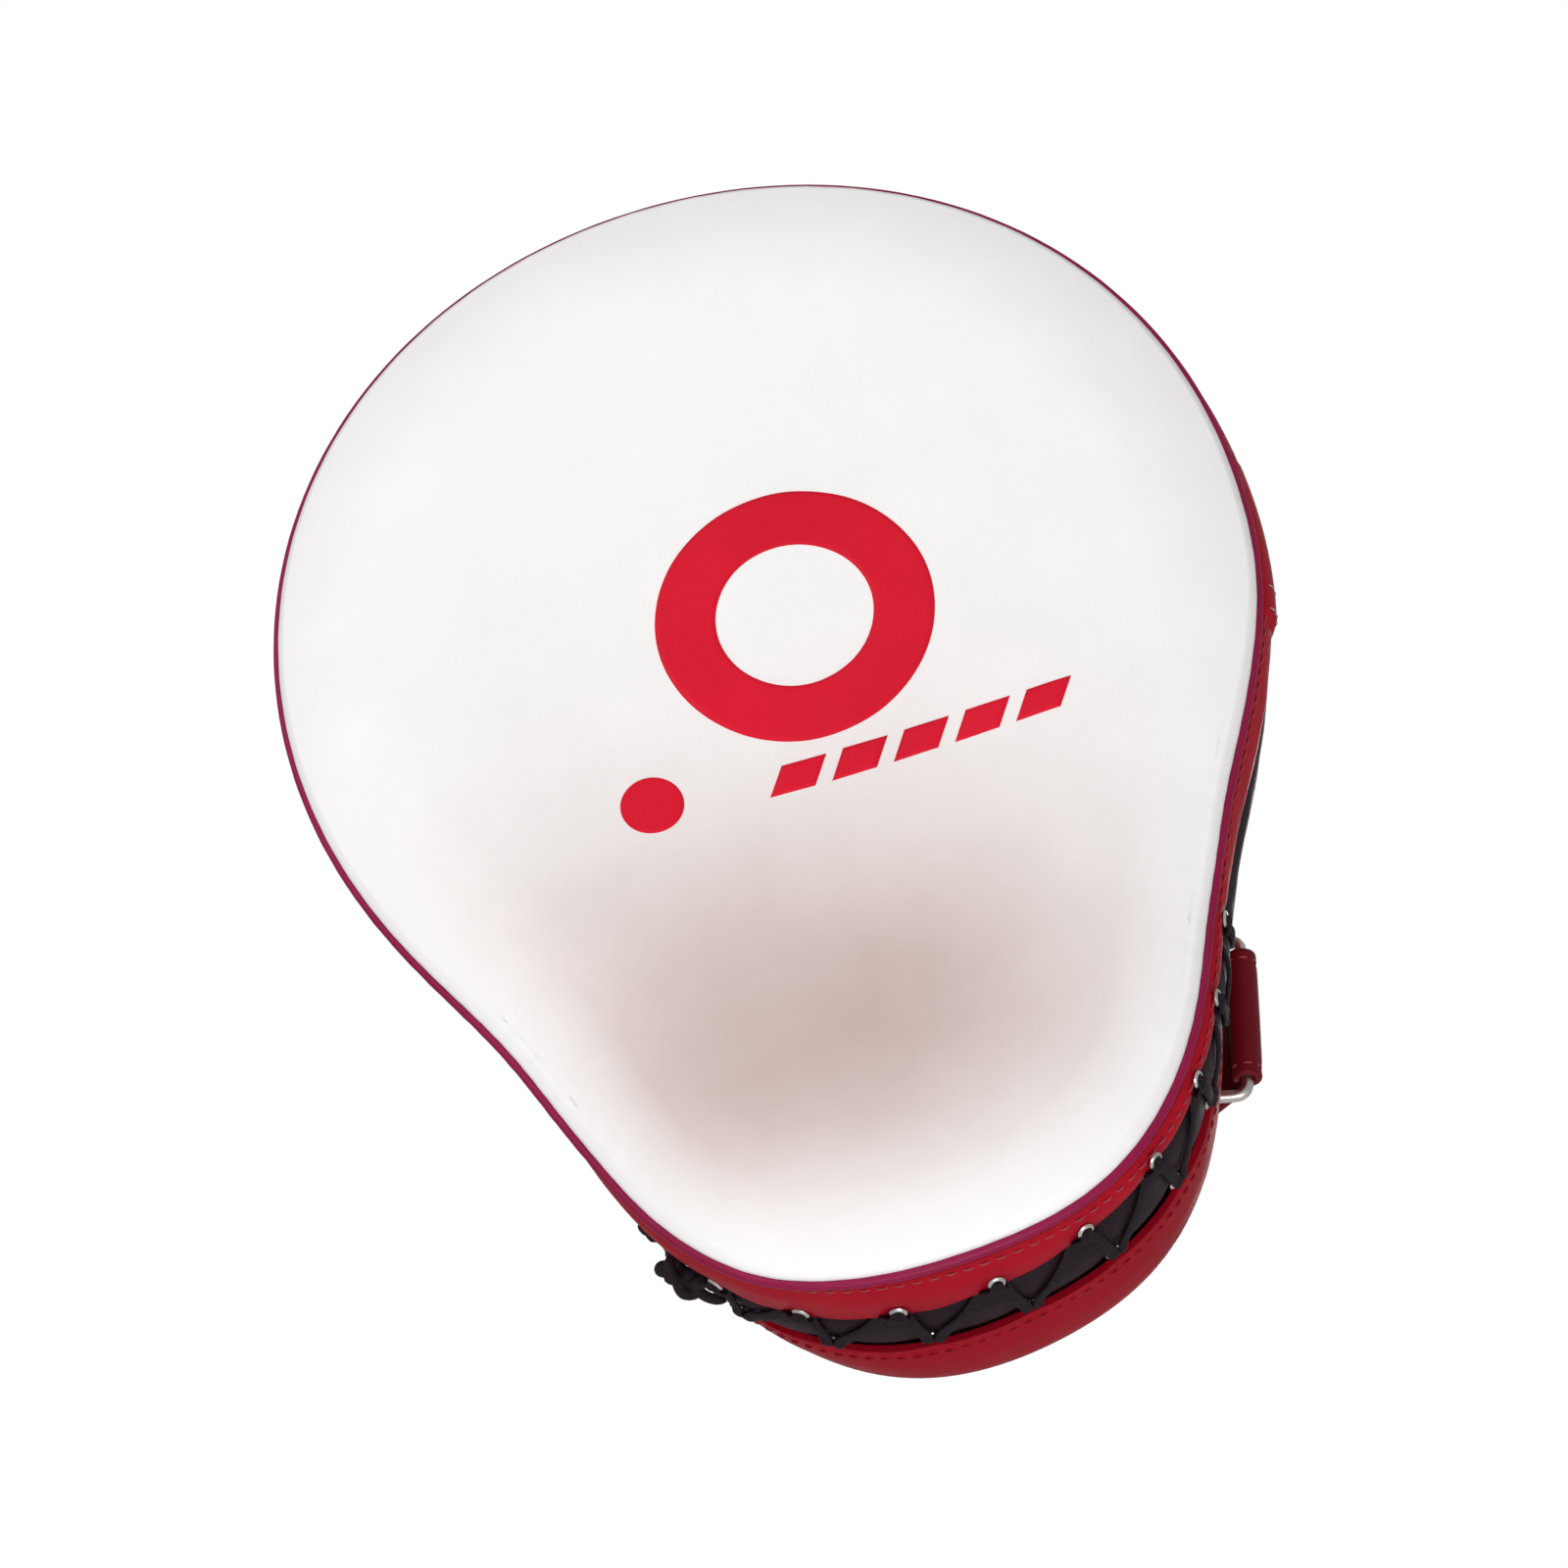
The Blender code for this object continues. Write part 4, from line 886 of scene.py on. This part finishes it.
def on_back(x, z, height):
    """Points at a height above the back panel."""
    x, z, height = np.broadcast_arrays(x, z, height)
    return np.stack((x, bend(z) + BACK_DEPTH + height, z), axis=-1)


def make_lid_seam():
    """The corded seam where the back panel meets its side wall, with a stitch row inside it."""
    build = Build()
    path = rim(FULL, 6.0, 53.5)
    tube(build, path, rim(FULL, 5.0, 54.5) - path, 1.15, 12)
    path = rim(FULL_CLOSED, LID_STITCH_INSET, LID_STITCH_DEPTH)
    stitches(build, path, off_back(path))
    build.piece("back_seam_cord", [BLACK, RED_THREAD])


def local_place(x, z, tilt):
    """Placement on the back panel for something whose length runs at a tilt from +Z."""
    angle = math.radians(tilt)

    def place(across, along, height):
        return on_back(x + across * math.cos(angle) + along * math.sin(angle),
                       z - across * math.sin(angle) + along * math.cos(angle), height)
    return place


def hood_size(share, half_width, height, wall, narrowing):
    """Half width and height of a hood at a share of its length."""
    closing = np.sqrt(np.maximum(1 - share ** 4, 0))
    width = half_width * (1 - narrowing * share ** 2) * (0.45 + 0.55 * closing)
    return width, (height - wall - 1) * closing + wall + 0.6


def make_hood(name, place, length, half_width, height, wall, narrowing, groove_depth, node):
    """A leather hood, open at its mouth: outer shell with sewn seams, and a lining inside."""
    phi = np.linspace(0, np.pi, 73)
    turn = np.linspace(0, np.pi / 2, 50)
    share = np.sqrt(np.sin(turn))[:, None]
    share[0] = 0
    width, tall = hood_size(share, half_width, height, wall, narrowing)
    across = np.cos(phi)
    groove = groove_depth * bell(across * width, 1.5) * np.clip((1 - share) / 0.12, 0, 1)
    puff = 0.5 * swell(across * width * 1.3, share * length, 1.4) * np.sin(phi) * (1 - share ** 4)
    outer = place(width * across, length * share, 0.3 + (tall + puff - groove) * np.sin(phi))
    inner_width, inner_tall = np.maximum(width - wall, 0.5), np.maximum(tall - wall, 0.2)
    inner_share = np.minimum(share, 0.985)
    inner = place(inner_width * across, length * inner_share, 0.3 + inner_tall * np.sin(phi))
    build = Build()
    # Painted shade along the seam groove down the hood's middle.
    a = build.grid(outer, values={"seam": 0.5 * np.clip(groove, 0, 1)})
    b = build.grid(inner, finish=1)
    last = len(phi) - 1
    for j in range(last):
        build.fill((a[0, j], b[0, j], b[0, j + 1], a[0, j + 1]))
        build.fill((a[-1, j], a[-1, j + 1], b[-1, j + 1], b[-1, j]))
    for i in range(len(turn) - 1):
        build.fill((a[i, 0], a[i + 1, 0], b[i + 1, 0], b[i, 0]))
        build.fill((a[i, last], b[i, last], b[i + 1, last], a[i + 1, last]))
    along = np.linspace(0.04, 0.93, 90)
    width, tall = hood_size(along, half_width, height, wall, narrowing)
    for side in (-2.6, 2.6):
        out = np.clip(side / width, -1, 1)
        up = np.sqrt(1 - out ** 2)
        lift = 0.5 * swell(out * width * 1.3, along * length, 1.4) * up * (1 - along ** 4)
        path = place(width * out, length * along, 0.32 + (tall + lift) * up)
        stitches(build, path, path - place(0.0, length * along, 0.0), 2)
    made = build.piece(name, [RED, LINING, RED_THREAD], node)


def make_hood_binding(name, place, half_width, height, depth, thick, node):
    """A black leather binding rolled round a hood's mouth."""
    phi = np.linspace(0.0, np.pi, 97)
    turn = circle(20)
    side, up = squared_off(np.cos(turn), 0.7), squared_off(np.sin(turn), 0.7)
    uneven = 1 + 0.03 * np.sin(31 * phi)[:, None]
    reach = -thick / 2 + up * thick / 2 * uneven
    x = (half_width + reach) * np.cos(phi)[:, None]
    h = 0.3 + np.maximum((height + reach) * np.sin(phi)[:, None], 0)
    build = Build()
    build.capped(place(x, -depth / 2 - 0.2 + side * depth / 2, h))
    arc = np.linspace(0.06, np.pi - 0.06, 120)
    path = place((half_width + 0.02) * np.cos(arc), -1.6, 0.3 + (height + 0.02) * np.sin(arc))
    stitches(build, path, path - place(0.0, -1.6, 0.0), pitch=3.0, length=2.1)
    build.piece(name, [BLACK, DARK_THREAD], node)


def make_flange(name, place, reach, length, half_width, height, wall, narrowing):
    """The hem of a hood, sewn flat to the back panel round its foot. reach scales its width."""
    rise = np.sqrt(np.sin(np.linspace(0, np.pi / 2, 60)))
    fall = rise[-3::-1]
    size = (half_width, height, wall, narrowing)
    tip = hood_size(1.0, *size)[0] * np.linspace(1, -1, 25)[1:]
    x = np.concatenate((hood_size(rise, *size)[0], tip, -hood_size(fall, *size)[0]))
    z = length * np.concatenate((rise, np.ones(len(tip)), fall))
    dx, dz = np.gradient(x), np.gradient(z)
    out = np.stack((dz, -dx)) / np.hypot(dx, dz)
    out_x, out_z = (np.convolve(np.pad(part, 4, mode="edge"), np.ones(9) / 9, "valid") for part in out)

    def beside(distance, height):
        return place(x + out_x * distance * reach, z + out_z * distance * reach, height)

    profile = ((-1.5, 0.1), (-0.6, 1.6), (0.3, 1.75), (1.2, 1.25), (3.0, 1.0), (5.6, 0.95), (6.5, 0.6),
               (6.7, 0.1))
    build = Build()
    build.capped(np.stack([beside(*at) for at in profile], axis=1))
    path = beside(4.3, 0.98)
    stitches(build, path, off_back(path))
    build.piece(name, [RED, RED_THREAD])


def make_pad(name, node, squareness, crown):
    """A crowned cushion: leather drawn down to a corded seam at its foot."""
    low, high = box_design(node)
    centre, half, top = (low + high) / 2, (high - low) / 2, high[1]
    turn = circle(128)
    side, up = np.sin(turn), np.cos(turn)
    radius = (np.abs(side) ** squareness + np.abs(up) ** squareness) ** (-1 / squareness)
    points = []
    for share in np.linspace(0, 1, 46):
        angle = share * np.pi / 2
        size = np.cos(angle) ** 0.55 * (1 - 0.02 * np.sin(2 * angle)) if share < 1 else 0.0
        lift = min(np.sin(angle) ** 0.75 / crown, 1.0)
        x = centre[0] + half[0] * radius * side * size
        z = centre[2] + half[2] * radius * up * size
        ground = bend(z) + BACK_DEPTH + 0.4
        uneven = 0.22 * swell(x, z, 0.8) * lift * (1 - lift) * 4
        y = ground + (top - ground) * lift + uneven
        points.append(np.stack((x, np.minimum(y, top), z), axis=-1))
    build = Build()
    index = build.grid(np.array(points[:-1]), wrap_columns=True)
    build.fan(index[-1], points[-1].mean(axis=0))
    build.fan(index[0], points[0].mean(axis=0))
    foot = on_back(centre[0] + (half[0] - 0.4) * radius * side,
                   centre[2] + (half[2] - 0.4) * radius * up, 1.1)
    tube(build, foot, off_back(foot), 0.9, 10)
    made = build.piece(name, [BLACK], node)


def make_pads():
    make_pad("palm_pad", "palm_cushion", 2.5, 0.95)
    make_pad("wrist_roll", "wrist_pad", 2.3, 1.0)


HOOD = dict(length=102.0, half_width=54.0, height=40.0, wall=3.0, narrowing=0.1)
THUMB = dict(length=54.0, half_width=19.5, height=31.0, wall=3.0, narrowing=0.05)
HOOD_X, HOOD_START_Z = 17.0, 7.0
THUMB_X, THUMB_Z, THUMB_TILT = -55.0, -21.0, -12.0


def make_pockets():
    hood = local_place(HOOD_X, HOOD_START_Z, 0)
    thumb = local_place(THUMB_X, THUMB_Z, THUMB_TILT)
    make_hood("finger_pocket", hood, groove_depth=1.1, node="finger_hood", **HOOD)
    make_hood("thumb_sleeve", thumb, groove_depth=0.9, node="thumb_pocket", **THUMB)
    make_hood_binding("finger_pocket_binding", hood, 54.8, 40.8, 6.6, 4.2, "finger_hood_binding")
    make_hood_binding("thumb_sleeve_binding", thumb, 20.2, 31.7, 5.6, 4.0, "thumb_pocket_binding")
    make_flange("finger_pocket_hem", hood, 1.0, **HOOD)
    make_flange("thumb_sleeve_hem", thumb, 0.45, **THUMB)


# ---------------------------------------------------------------- wrist strap

STRAP_Z, STRAP_WIDTH, STRAP_THICKNESS = -59.0, 31.0, 1.6
STRAP_MIDDLE_X, STRAP_HALF_SPAN, STRAP_TILT = 4.0, 61.0, math.radians(13.6)
RING_PIVOT_X, RING_BAR_X, RING_Y, RING_WIRE, RING_HALF_HEIGHT = 65.0, 74.5, 58.4, 1.3, 19.0
STRAP_GAP = 0.3
PATCH_THICKNESS, TAPE_THICKNESS, TAB_THICKNESS = 1.2, 1.0, 1.4
LOOP_START_X, LOOP_END_X, HOOK_START_X, HOOK_END_X = -14.0, 45.0, -6.0, 38.0
WRAP_START, WRAP_END = 165, 450
ARCH_KNOTS = ((55.0, 77.8), (41.0, 87.0), (6.0, 93.5), (-24.0, 87.0), (-37.2, 77.0), (-42.0, 67.5),
              (-41.6, 60.3), (-36.5, 56.4), (-24.0, 56.2))
RING_SIDE_KNOTS = ((66.0, 64.0), (63.0, 67.8))


def path_normals(path):
    """Unit normals of an (x, y) path, to the left of its run."""
    ahead = unit(np.gradient(path, axis=0))
    return np.stack((-ahead[:, 1], ahead[:, 0]), axis=1)


def strap_frame(path):
    """Middle line, width direction and thickness direction of a strap along an (x, y) path."""
    normals = path_normals(path)
    x, y = path.T
    lean = STRAP_TILT * np.clip((x - STRAP_MIDDLE_X) / STRAP_HALF_SPAN, -1, 1)
    beyond = np.maximum(x - RING_PIVOT_X, 0)
    middle = np.stack((x - beyond * (1 - np.cos(lean)), y, STRAP_Z - beyond * np.sin(lean)), axis=1)
    along = np.stack((np.sin(lean), 0 * x, np.cos(lean)), axis=1)
    across = np.stack((normals[:, 0] * np.cos(lean), normals[:, 1], -normals[:, 0] * np.sin(lean)), axis=1)
    return middle, along, across


def strap_mesh(build, path, thickness, width, round_end=0.0, stitch_sides=(), crown=0.12, rough=0.0):
    """A flat strap with rolled edges, sewn grooves and stitches along both edges."""
    stitch_inset = 2.6
    middle, along, across = strap_frame(path)
    hw, ht = width / 2, thickness / 2
    face = np.concatenate(([-1.0, -0.985], np.linspace(-0.96, 0.96, 27), [0.985, 1.0]))
    groove = 0.22 * bell(np.abs(face) * hw - (hw - stitch_inset), 0.7) * bool(stitch_sides)
    drop = ht * (1 - np.sqrt(np.clip(1 - (np.clip(np.abs(face) * hw - (hw - ht), 0, ht) / ht) ** 2, 0, 1)))
    height = ht - drop - groove + crown * (1 - face ** 2) * (drop < 0.01)
    side_w = np.concatenate((face, face[-2:0:-1])) * hw
    side_t = np.concatenate((height, -height[-2:0:-1]))
    length = arc_lengths(middle)
    narrow = np.ones(len(path))
    if round_end:
        left = np.clip((length[-1] - length) / round_end, 0.0, 1)
        narrow = 1 - 0.42 * (1 - np.sqrt(1 - (1 - left) ** 2))
    points = (middle[:, None] + along[:, None] * (side_w * narrow[:, None])[..., None]
              + across[:, None] * side_t[None, :, None])
    if rough:
        points += across[:, None] * (rough * swell(points[..., 0] * 9, points[..., 2] * 9))[..., None]
    build.capped(points)
    sewn = length < length[-1] - 3.0 if round_end else np.ones(len(path), bool)
    for side in stitch_sides:
        for edge in (-1, 1):
            out = (edge * (hw * narrow - stitch_inset))[:, None]
            line = middle + along * out + across * side * (ht - 0.14)
            stitches(build, line[sewn], across[sewn] * side)


def resample(path, step):
    """Evenly spaced points along a path of (x, y) points."""
    length = arc_lengths(path)
    where = np.linspace(0, length[-1], max(int(length[-1] / step), 4))
    return np.stack([np.interp(where, length, column) for column in path.T], axis=1)


def circle_run(x, y, radius, start_angle, end_angle, steps):
    angle = np.radians(np.linspace(start_angle, end_angle, steps + 1))
    return np.stack((x + radius * np.cos(angle), y + radius * np.sin(angle)), axis=1)


def box_cross(build, path, thickness, width):
    """A sewn box with a cross, across a patch."""
    middle, along, across = strap_frame(path)
    first, last = middle[0] * 0.88 + middle[-1] * 0.12, middle[-1] * 0.88 + middle[0] * 0.12
    side = along[0] * (width / 2 - 3)
    far_side = along[-1] * (width / 2 - 3)
    corners = [first - side, first + side, last + far_side, last - far_side]
    lift = across[0] * (thickness / 2 - 0.02)
    runs = list(zip(corners, corners[1:] + corners[:1]))
    runs += [(corners[0], corners[2]), (corners[1], corners[3])]
    for a, b in runs:
        line = a + (b - a) * np.linspace(0, 1, 12)[:, None] + lift
        stitches(build, line, np.zeros_like(line) + across[0], pitch=2.6, length=1.9)


def strap_piece(name, node, path, step, thickness, width, finishes, body="root", cross=False, **form):
    """A piece of strap along an (x, y) path. A patch is sewn down with a cross."""
    build = Build()
    even = resample(path, step)
    strap_mesh(build, even, thickness, width, **form)
    if cross:
        box_cross(build, even, thickness, width)
    build.piece(name, finishes, node, body)


def make_strap():
    main = spline(RING_SIDE_KNOTS + ARCH_KNOTS, 24)
    strap_piece("strap", "wrist_strap", main, 1.3, STRAP_THICKNESS, STRAP_WIDTH, [DEEP_RED, RED_THREAD],
                stitch_sides=(-1, 1))

    over = main[(main[:, 0] >= LOOP_START_X) & (main[:, 0] <= LOOP_END_X) & (main[:, 1] > ORIGIN[1])]
    hook_run = over[(over[:, 0] >= HOOK_START_X) & (over[:, 0] <= HOOK_END_X)]
    loop_offset = -(STRAP_THICKNESS / 2 + STRAP_GAP + TAPE_THICKNESS / 2)
    hook_offset = loop_offset - TAPE_THICKNESS - STRAP_GAP
    tail_offset = hook_offset - TAPE_THICKNESS / 2 - STRAP_GAP - STRAP_THICKNESS / 2
    strap_piece("loop_tape", "loop_patch", over + path_normals(over) * loop_offset, 0.9, TAPE_THICKNESS,
                STRAP_WIDTH - 3, [LOOP], crown=0, rough=0.06)
    strap_piece("hook_tape", "hook_patch", hook_run + path_normals(hook_run) * hook_offset, 0.9,
                TAPE_THICKNESS, STRAP_WIDTH - 4, [HOOK], "tail", crown=0, rough=0.06)

    around_bar = RING_WIRE + STRAP_GAP + STRAP_THICKNESS / 2
    wrap = circle_run(RING_BAR_X, RING_Y, around_bar, WRAP_START, WRAP_END, 60)
    outside = over + path_normals(over) * tail_offset
    bridge = spline([wrap[-1], (70.0, 67.4), (61.0, 77.8), outside[0]], 16)
    tail = np.concatenate((wrap[:-1], bridge[:-1], outside))
    strap_piece("strap_end", "strap_tail", tail, 0.9, STRAP_THICKNESS, STRAP_WIDTH, [DEEP_RED, RED_THREAD],
                body="tail", round_end=9.0, stitch_sides=(-1,))

    root = np.array(((-37.0, 58.2), (-24.0, 58.3)))
    strap_piece("strap_root", "strap_root_patch", root, 0.8, PATCH_THICKNESS, STRAP_WIDTH + 4,
                [BLACK, DARK_THREAD], cross=True, crown=0)


def make_ring_and_tab():
    half, corner = RING_HALF_HEIGHT, 2.6
    route = []
    for x, height, begin in ((RING_PIVOT_X, half, 90), (RING_PIVOT_X, -half, 180),
                             (RING_BAR_X, -half, 270), (RING_BAR_X, half, 0)):
        inward_x = corner if x == RING_PIVOT_X else -corner
        inward_z = -corner if height > 0 else corner
        angle = np.radians(np.linspace(begin, begin + 90, 13))
        route.append(np.stack((x + inward_x + corner * np.cos(angle),
                               height + inward_z + corner * np.sin(angle)), axis=1))
    route = resample(np.concatenate(route + [route[0][:1]]), 0.7)[:-1]
    turn = np.array(Matrix.Rotation(STRAP_TILT, 3, "Y"))
    flat = np.stack((route[:, 0] - RING_PIVOT_X, 0 * route[:, 0], route[:, 1]), axis=1)
    path = np.array((RING_PIVOT_X, RING_Y, STRAP_Z)) + flat @ turn.T
    build = Build()
    tube(build, path, off_back(path), RING_WIRE, 20)
    build.piece("wrist_ring", [NICKEL], "strap_ring", "ring")

    around_bar = RING_WIRE + STRAP_GAP + TAB_THICKNESS / 2
    fold = circle_run(RING_PIVOT_X, RING_Y, around_bar, -90, 90, 30)
    lower = RING_Y - around_bar
    first = np.array(((40.0, 56.2), (47.0, 56.15), (54.0, lower + 0.1)))
    last = np.array(((58.0, 59.4), (52.0, 58.4), (46.0, 58.4), (40.0, 58.4)))
    strap_piece("ring_loop", "ring_tab", spline(np.concatenate((first, fold, last)), 6), 0.7,
                TAB_THICKNESS, STRAP_WIDTH - 1, [DEEP_RED, RED_THREAD], stitch_sides=(-1,), crown=0.05)
    patch = np.array(((39.0, 60.1), (50.0, 60.1)))
    strap_piece("ring_loop_patch", "ring_tab_patch", patch, 0.8, PATCH_THICKNESS, STRAP_WIDTH + 3,
                [BLACK, DARK_THREAD], cross=True, crown=0)


# ---------------------------------------------------------------- CAD nodes that stay


def finish_inner_nodes():
    """The hidden layers keep their CAD shapes and take fuller materials."""
    for node, shade in (("impact_foam", LIGHT_FOAM), ("shock_foam", DARK_FOAM), ("rebound_foam", LIGHT_FOAM),
                        ("back_foam", LIGHT_FOAM), ("front_pad_lining", LINING), ("finger_liner", LINING)):
        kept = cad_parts[node]
        kept.data.materials.clear()
        kept.data.materials.append(shade)


# ---------------------------------------------------------------- studio


CAMERA_AZIMUTH, CAMERA_ELEVATION, CAMERA_ROLL, CAMERA_DISTANCE = 0.0032, -0.6113, -0.2761, 1000.0
CAMERA_RIGHT, CAMERA_UP, CAMERA_LENS = -2.525, -11.022, 110.39


def make_camera():
    """A camera that looks at the face from below, towards the design's origin and a little past it."""
    azimuth, elevation, roll = CAMERA_AZIMUTH, CAMERA_ELEVATION, CAMERA_ROLL
    back = Vector((math.sin(azimuth) * math.cos(elevation), -math.cos(azimuth) * math.cos(elevation),
                   math.sin(elevation)))
    right = Vector((math.cos(azimuth), math.sin(azimuth), 0))
    up = back.cross(right)
    turned_right = right * math.cos(roll) + up * math.sin(roll)
    turned_up = up * math.cos(roll) - right * math.sin(roll)
    place = back * CAMERA_DISTANCE + turned_right * CAMERA_RIGHT + turned_up * CAMERA_UP
    camera = bpy.data.objects.new("camera", bpy.data.cameras.new("camera"))
    camera.data.lens = CAMERA_LENS
    camera.data.clip_start = 0.02
    matrix = Matrix((turned_right, turned_up, back)).transposed().to_4x4()
    matrix.translation = row(place)
    camera.matrix_world = matrix
    bpy.context.scene.collection.objects.link(camera)
    bpy.context.scene.camera = camera


def area_light(name, place, target, size, power):
    light = bpy.data.lights.new(name, "AREA")
    light.shape, light.size, light.energy = "DISK", size, power
    lamp = bpy.data.objects.new(name, light)
    lamp.location = place
    lamp.rotation_mode = "QUATERNION"
    lamp.rotation_quaternion = (Vector(place) - Vector(target)).to_track_quat("Z", "Y")
    bpy.context.scene.collection.objects.link(lamp)


def make_studio():
    """Soft lamps, a plain floor, and a grey room that is white past the mitt's back."""
    world = bpy.data.worlds.new("studio")
    bpy.context.scene.world = world
    world.use_nodes = True
    tree = world.node_tree
    ground = tree.nodes["Background"]
    place = add(tree, "ShaderNodeTexCoord")
    facing = add(tree, "ShaderNodeVectorMath", {"operation": "DOT_PRODUCT"},
                 **{"0": (place, "Generated"), "1": (0.0, 0.819, 0.574)})
    behind = spread(tree, (facing, "Value"), math.cos(math.radians(32)), math.cos(math.radians(15)), 0.0, 1.0)
    tint = mix(tree, (behind, 0), (0.40, 0.395, 0.395, 1.0), (1.0, 1.0, 1.0, 1.0))
    tree.links.new(tint.outputs[2], ground.inputs["Color"])
    ground.inputs["Strength"].default_value = 1.0

    area_light("key", (0.10, -1.05, -1.20), (0.0, -0.05, 0.0), 0.7, 16.8)
    area_light("fill", (-0.7, -1.4, 0.4), (0.0, 0.0, 0.02), 0.9, 8.0)
    area_light("back_light", (0.3, 1.4, 0.9), (0.0, 0.0, 0.0), 0.8, 10.0)

    bpy.ops.mesh.primitive_grid_add(x_subdivisions=8, y_subdivisions=8, size=12.0, location=(0, 0, -1.25))
    floor = bpy.context.object
    floor.name = "studio_floor"
    shade, tree, bsdf, _ = start("studio_floor", 0.7)
    cloud = add(tree, "ShaderNodeTexNoise", Scale=1.5, Detail=3.0)
    tone = mix(tree, (cloud, 0), (0.86, 0.86, 0.86, 1.0), (0.90, 0.90, 0.90, 1.0))
    tree.links.new(tone.outputs[2], bsdf.inputs["Base Color"])
    floor.data.materials.append(shade)
    bpy.context.scene.view_settings.view_transform = "Standard"


for make in (make_camera, make_studio, make_face, make_target_ring, make_accent_disc, make_accent_bars,
             make_piping, make_gusset, make_gusset_join, make_welt, make_eyelets, make_lace,
             make_lace_knot, make_back, make_lid_seam, make_pads, make_pockets, make_strap,
             make_ring_and_tab, finish_inner_nodes):
    make()
